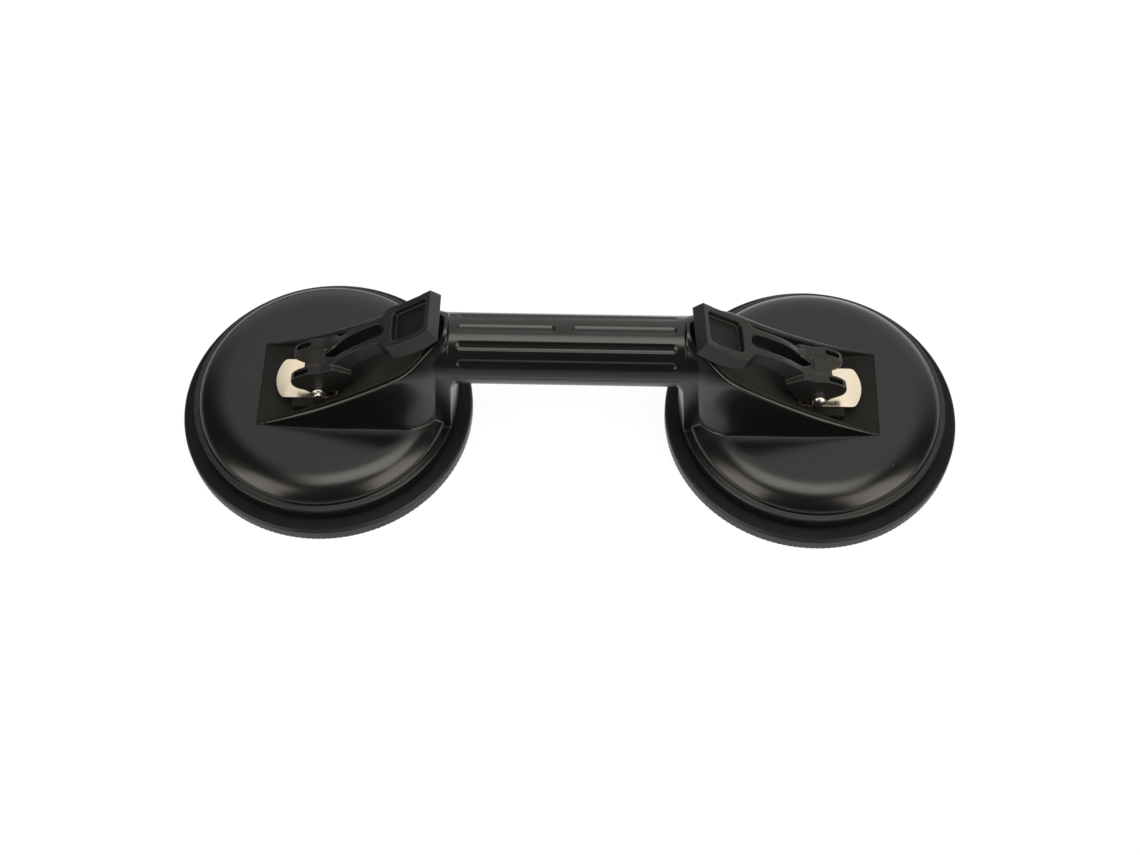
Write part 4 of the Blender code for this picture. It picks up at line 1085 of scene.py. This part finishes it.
# %% Remesh and soften, and keep the thrown lobes clear of the plate
CAM_REACH = 12.25
apply_modifier(lever, "REMESH", mode="VOXEL", voxel_size=0.25 * MM, adaptivity=0.0)
apply_modifier(lever, "SMOOTH", factor=0.5, iterations=4)
for vertex in lever.data.vertices:
    x, z = vertex.co.x, vertex.co.z - PIN_Z * MM
    if x < -4 * MM and math.hypot(x, z) > CAM_REACH * MM:
        keep = CAM_REACH * MM / math.hypot(x, z)
        vertex.co.x, vertex.co.z = x * keep, z * keep + PIN_Z * MM
work_on(lever)
bpy.ops.object.shade_smooth()
paint(lever, LEVER_NYLON)
lever.data.materials.append(TRAY_NYLON)
(start_x, start_z), (tip_x, tip_z) = PAD_START, PAD_TIP
for face in lever.data.polygons:
    x, y, z = face.center / MM
    below = start_z + (x - start_x) * (tip_z - start_z) / (tip_x - start_x) - z
    if start_x < x < tip_x and abs(y) < TRAY_HALF + 0.1 and 0.9 < below < 3.5 and face.normal.z > 0.0:
        face.material_index = 1
on_both_cups(lever, "cam_lever", "lever", "lever", swivel=RIGHT_STUD_TURN)

# %% [markdown]
# ## Nodes that stay as they are
# The springs, washers and anchor plates sit inside the housings, so they keep their engineering
# shapes and only get better finishes. For the springs that is still wrong: they don't shorten when a
# lever is thrown, and then come through the undersides of the discs.

# %% Finish the kept nodes
for name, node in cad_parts.items():
    for ending, finish in (("return_spring", SPRING_STEEL), ("spring_washer", ZINC), ("anchor_plate", ZINC)):
        if name.endswith(ending):
            for slot in node.material_slots:
                slot.material = finish

# %% [markdown]
# ## Floor, light and camera
# The lifter stands on a white sweep that rises behind it. A soft box hangs overhead, two tall ones
# stand in front to the left and to the right, and the room between them is dark. That draws one
# clear highlight round the top of each shoulder and two lower down, and leaves the slopes that face
# the viewer nearly black. The back wall and the two tall boxes are painted into the world by compass
# bearing, and the floor is brightest round the lifter. To the camera both are plain white.

# %% The floor
start_clean()
bpy.ops.mesh.primitive_plane_add(size=12)
floor = bpy.context.object
floor.name = "studio_floor"
floor_paint, floor_shader = new_finish("studio_white", (0.9, 0.9, 0.9), 0.9)
floor_shader.inputs["Specular IOR Level"].default_value = 0.0
ray = add_node(floor_paint, "LightPath")
place = object_place(floor_paint)


def pool(across, along, middle):
    """A soft pool on the floor, 1 in its middle; sizes in metres."""
    moved = vector_maths(floor_paint, "ADD", place, (-middle, 0, 0))
    spaced = vector_maths(floor_paint, "MULTIPLY", moved, (1 / across, 1 / along, 0))
    square = vector_maths(floor_paint, "DOT_PRODUCT", spaced, spaced)
    return maths(floor_paint, "EXPONENT", maths(floor_paint, "MULTIPLY", square, -1.0))


back_half = soft_step(floor_paint, add_node(floor_paint, "SeparateXYZ", {"Vector": place}).outputs["Y"], 0.03, 0.12)
far_pool = maths(floor_paint, "MULTIPLY", pool(0.22, 50.0, 0.22), back_half)
level = maths(floor_paint, "ADD", pool(0.30, 0.16, 0.0), maths(floor_paint, "MULTIPLY", far_pool, 1.5))
strength = add_node(floor_paint, "Mix", {"Factor": ray.outputs["Is Camera Ray"], "A": level, "B": 1.06},
                    data_type="FLOAT")
seen = maths(floor_paint, "MAXIMUM", ray.outputs["Is Camera Ray"], ray.outputs["Is Glossy Ray"])
seen = maths(floor_paint, "MAXIMUM", seen, ray.outputs["Is Transmission Ray"])
seen = maths(floor_paint, "MULTIPLY", seen, 0.86)
glow = add_node(floor_paint, "Emission", {"Color": (1, 1, 1, 1), "Strength": strength.outputs["Result"]})
mixed = add_node(floor_paint, "MixShader", {
    "Fac": seen, 1: floor_shader.outputs["BSDF"], 2: glow.outputs["Emission"]})
link(floor_paint, mixed.outputs["Shader"], floor_paint.node_tree.nodes["Material Output"], "Surface")
paint(floor, floor_paint)

# %% The room
world = bpy.data.worlds.new("studio_room")
bpy.context.scene.world = world
world.use_nodes = True
world.node_tree.nodes.clear()
WARM_LIGHT = (1, 0.93, 0.82)

direction = add_node(world, "TexCoord").outputs["Generated"]
height = add_node(world, "SeparateXYZ", {"Vector": direction}).outputs["Z"]
level_part = vector_maths(world, "MULTIPLY", direction, (1, 1, 0))
compass = vector_maths(world, "NORMALIZE", level_part)
aside = vector_maths(world, "LENGTH", level_part)


def toward(degrees):
    """How well a direction lines up with a compass bearing, counted from +X."""
    bearing = (math.cos(math.radians(degrees)), math.sin(math.radians(degrees)), 0)
    return vector_maths(world, "DOT_PRODUCT", compass, bearing)


def side_box(degrees, edge, core):
    """1 inside a tall soft box at a bearing, 0 beyond its edge; half widths in degrees."""
    low_enough = soft_step(world, height, 0.90, 0.80)
    across = soft_step(world, toward(degrees), math.cos(math.radians(edge)), math.cos(math.radians(core)))
    return maths(world, "MULTIPLY", across, low_enough)


def glow_of(colour, strength, amount):
    """A colour, at a strength, where amount is 1."""
    return scaled(world, [part * strength for part in colour], amount)


back_wall = maths(world, "MULTIPLY", soft_step(world, toward(82), 0.3, 1.0), soft_step(world, aside, 0.12, 0.35))
light = (0.05, 0.05, 0.05)
for part in (glow_of((1, 0.97, 0.91), 1.0, back_wall), glow_of(WARM_LIGHT, 3.4, side_box(-142, 22, 13)),
             glow_of(WARM_LIGHT, 3.5, side_box(-36, 26, 16))):
    light = vector_maths(world, "ADD", light, part)
lit = add_node(world, "Background", {"Color": light, "Strength": 1.0})
white = add_node(world, "Background", {"Color": (1, 1, 1, 1), "Strength": 1.0})
mixed = add_node(world, "MixShader", {
    "Fac": add_node(world, "LightPath").outputs["Is Camera Ray"],
    1: lit.outputs["Background"], 2: white.outputs["Background"]})
add_node(world, "OutputWorld", {"Surface": mixed.outputs["Shader"]})

# %% The lamp
LAMP_PLACE, LAMP_TARGET = Vector((0.10, -0.035, 1.25)), Vector((0.10, 0.02, 0))
start_clean()
bpy.ops.object.light_add(type="AREA", location=LAMP_PLACE)
overhead = bpy.context.object
overhead.name = "overhead_soft_box"
overhead.rotation_euler = (LAMP_PLACE - LAMP_TARGET).to_track_quat("Z", "Y").to_euler()
overhead.data.shape = "RECTANGLE"
overhead.data.size, overhead.data.size_y = 0.92, 0.48
overhead.data.energy = 5.6
overhead.data.color = (1, 0.97, 0.90)

# %% The camera
AZIMUTH, ELEVATION, DISTANCE, ROLL = 2.398, 59.946, 0.7188, -1.055
TARGET = Vector((0.000753, -0.005872, 0.0))
az, el, roll = (math.radians(v) for v in (AZIMUTH, ELEVATION, ROLL))
back = Vector((math.sin(az) * math.cos(el), -math.cos(az) * math.cos(el), math.sin(el)))
right = (-back).cross(Vector((0, 0, 1))).normalized()
up = right.cross(-back)
right, up = right * math.cos(roll) + up * math.sin(roll), up * math.cos(roll) - right * math.sin(roll)
start_clean()
bpy.ops.object.camera_add(location=TARGET + back * DISTANCE)
camera = bpy.context.object
facing = Matrix((right, up, back)).transposed().to_4x4()
camera.matrix_world = Matrix.Translation(TARGET + back * DISTANCE) @ facing
camera.data.lens = 54.47
camera.data.sensor_width = 36
bpy.context.scene.camera = camera
bpy.context.scene.view_settings.view_transform = "Standard"
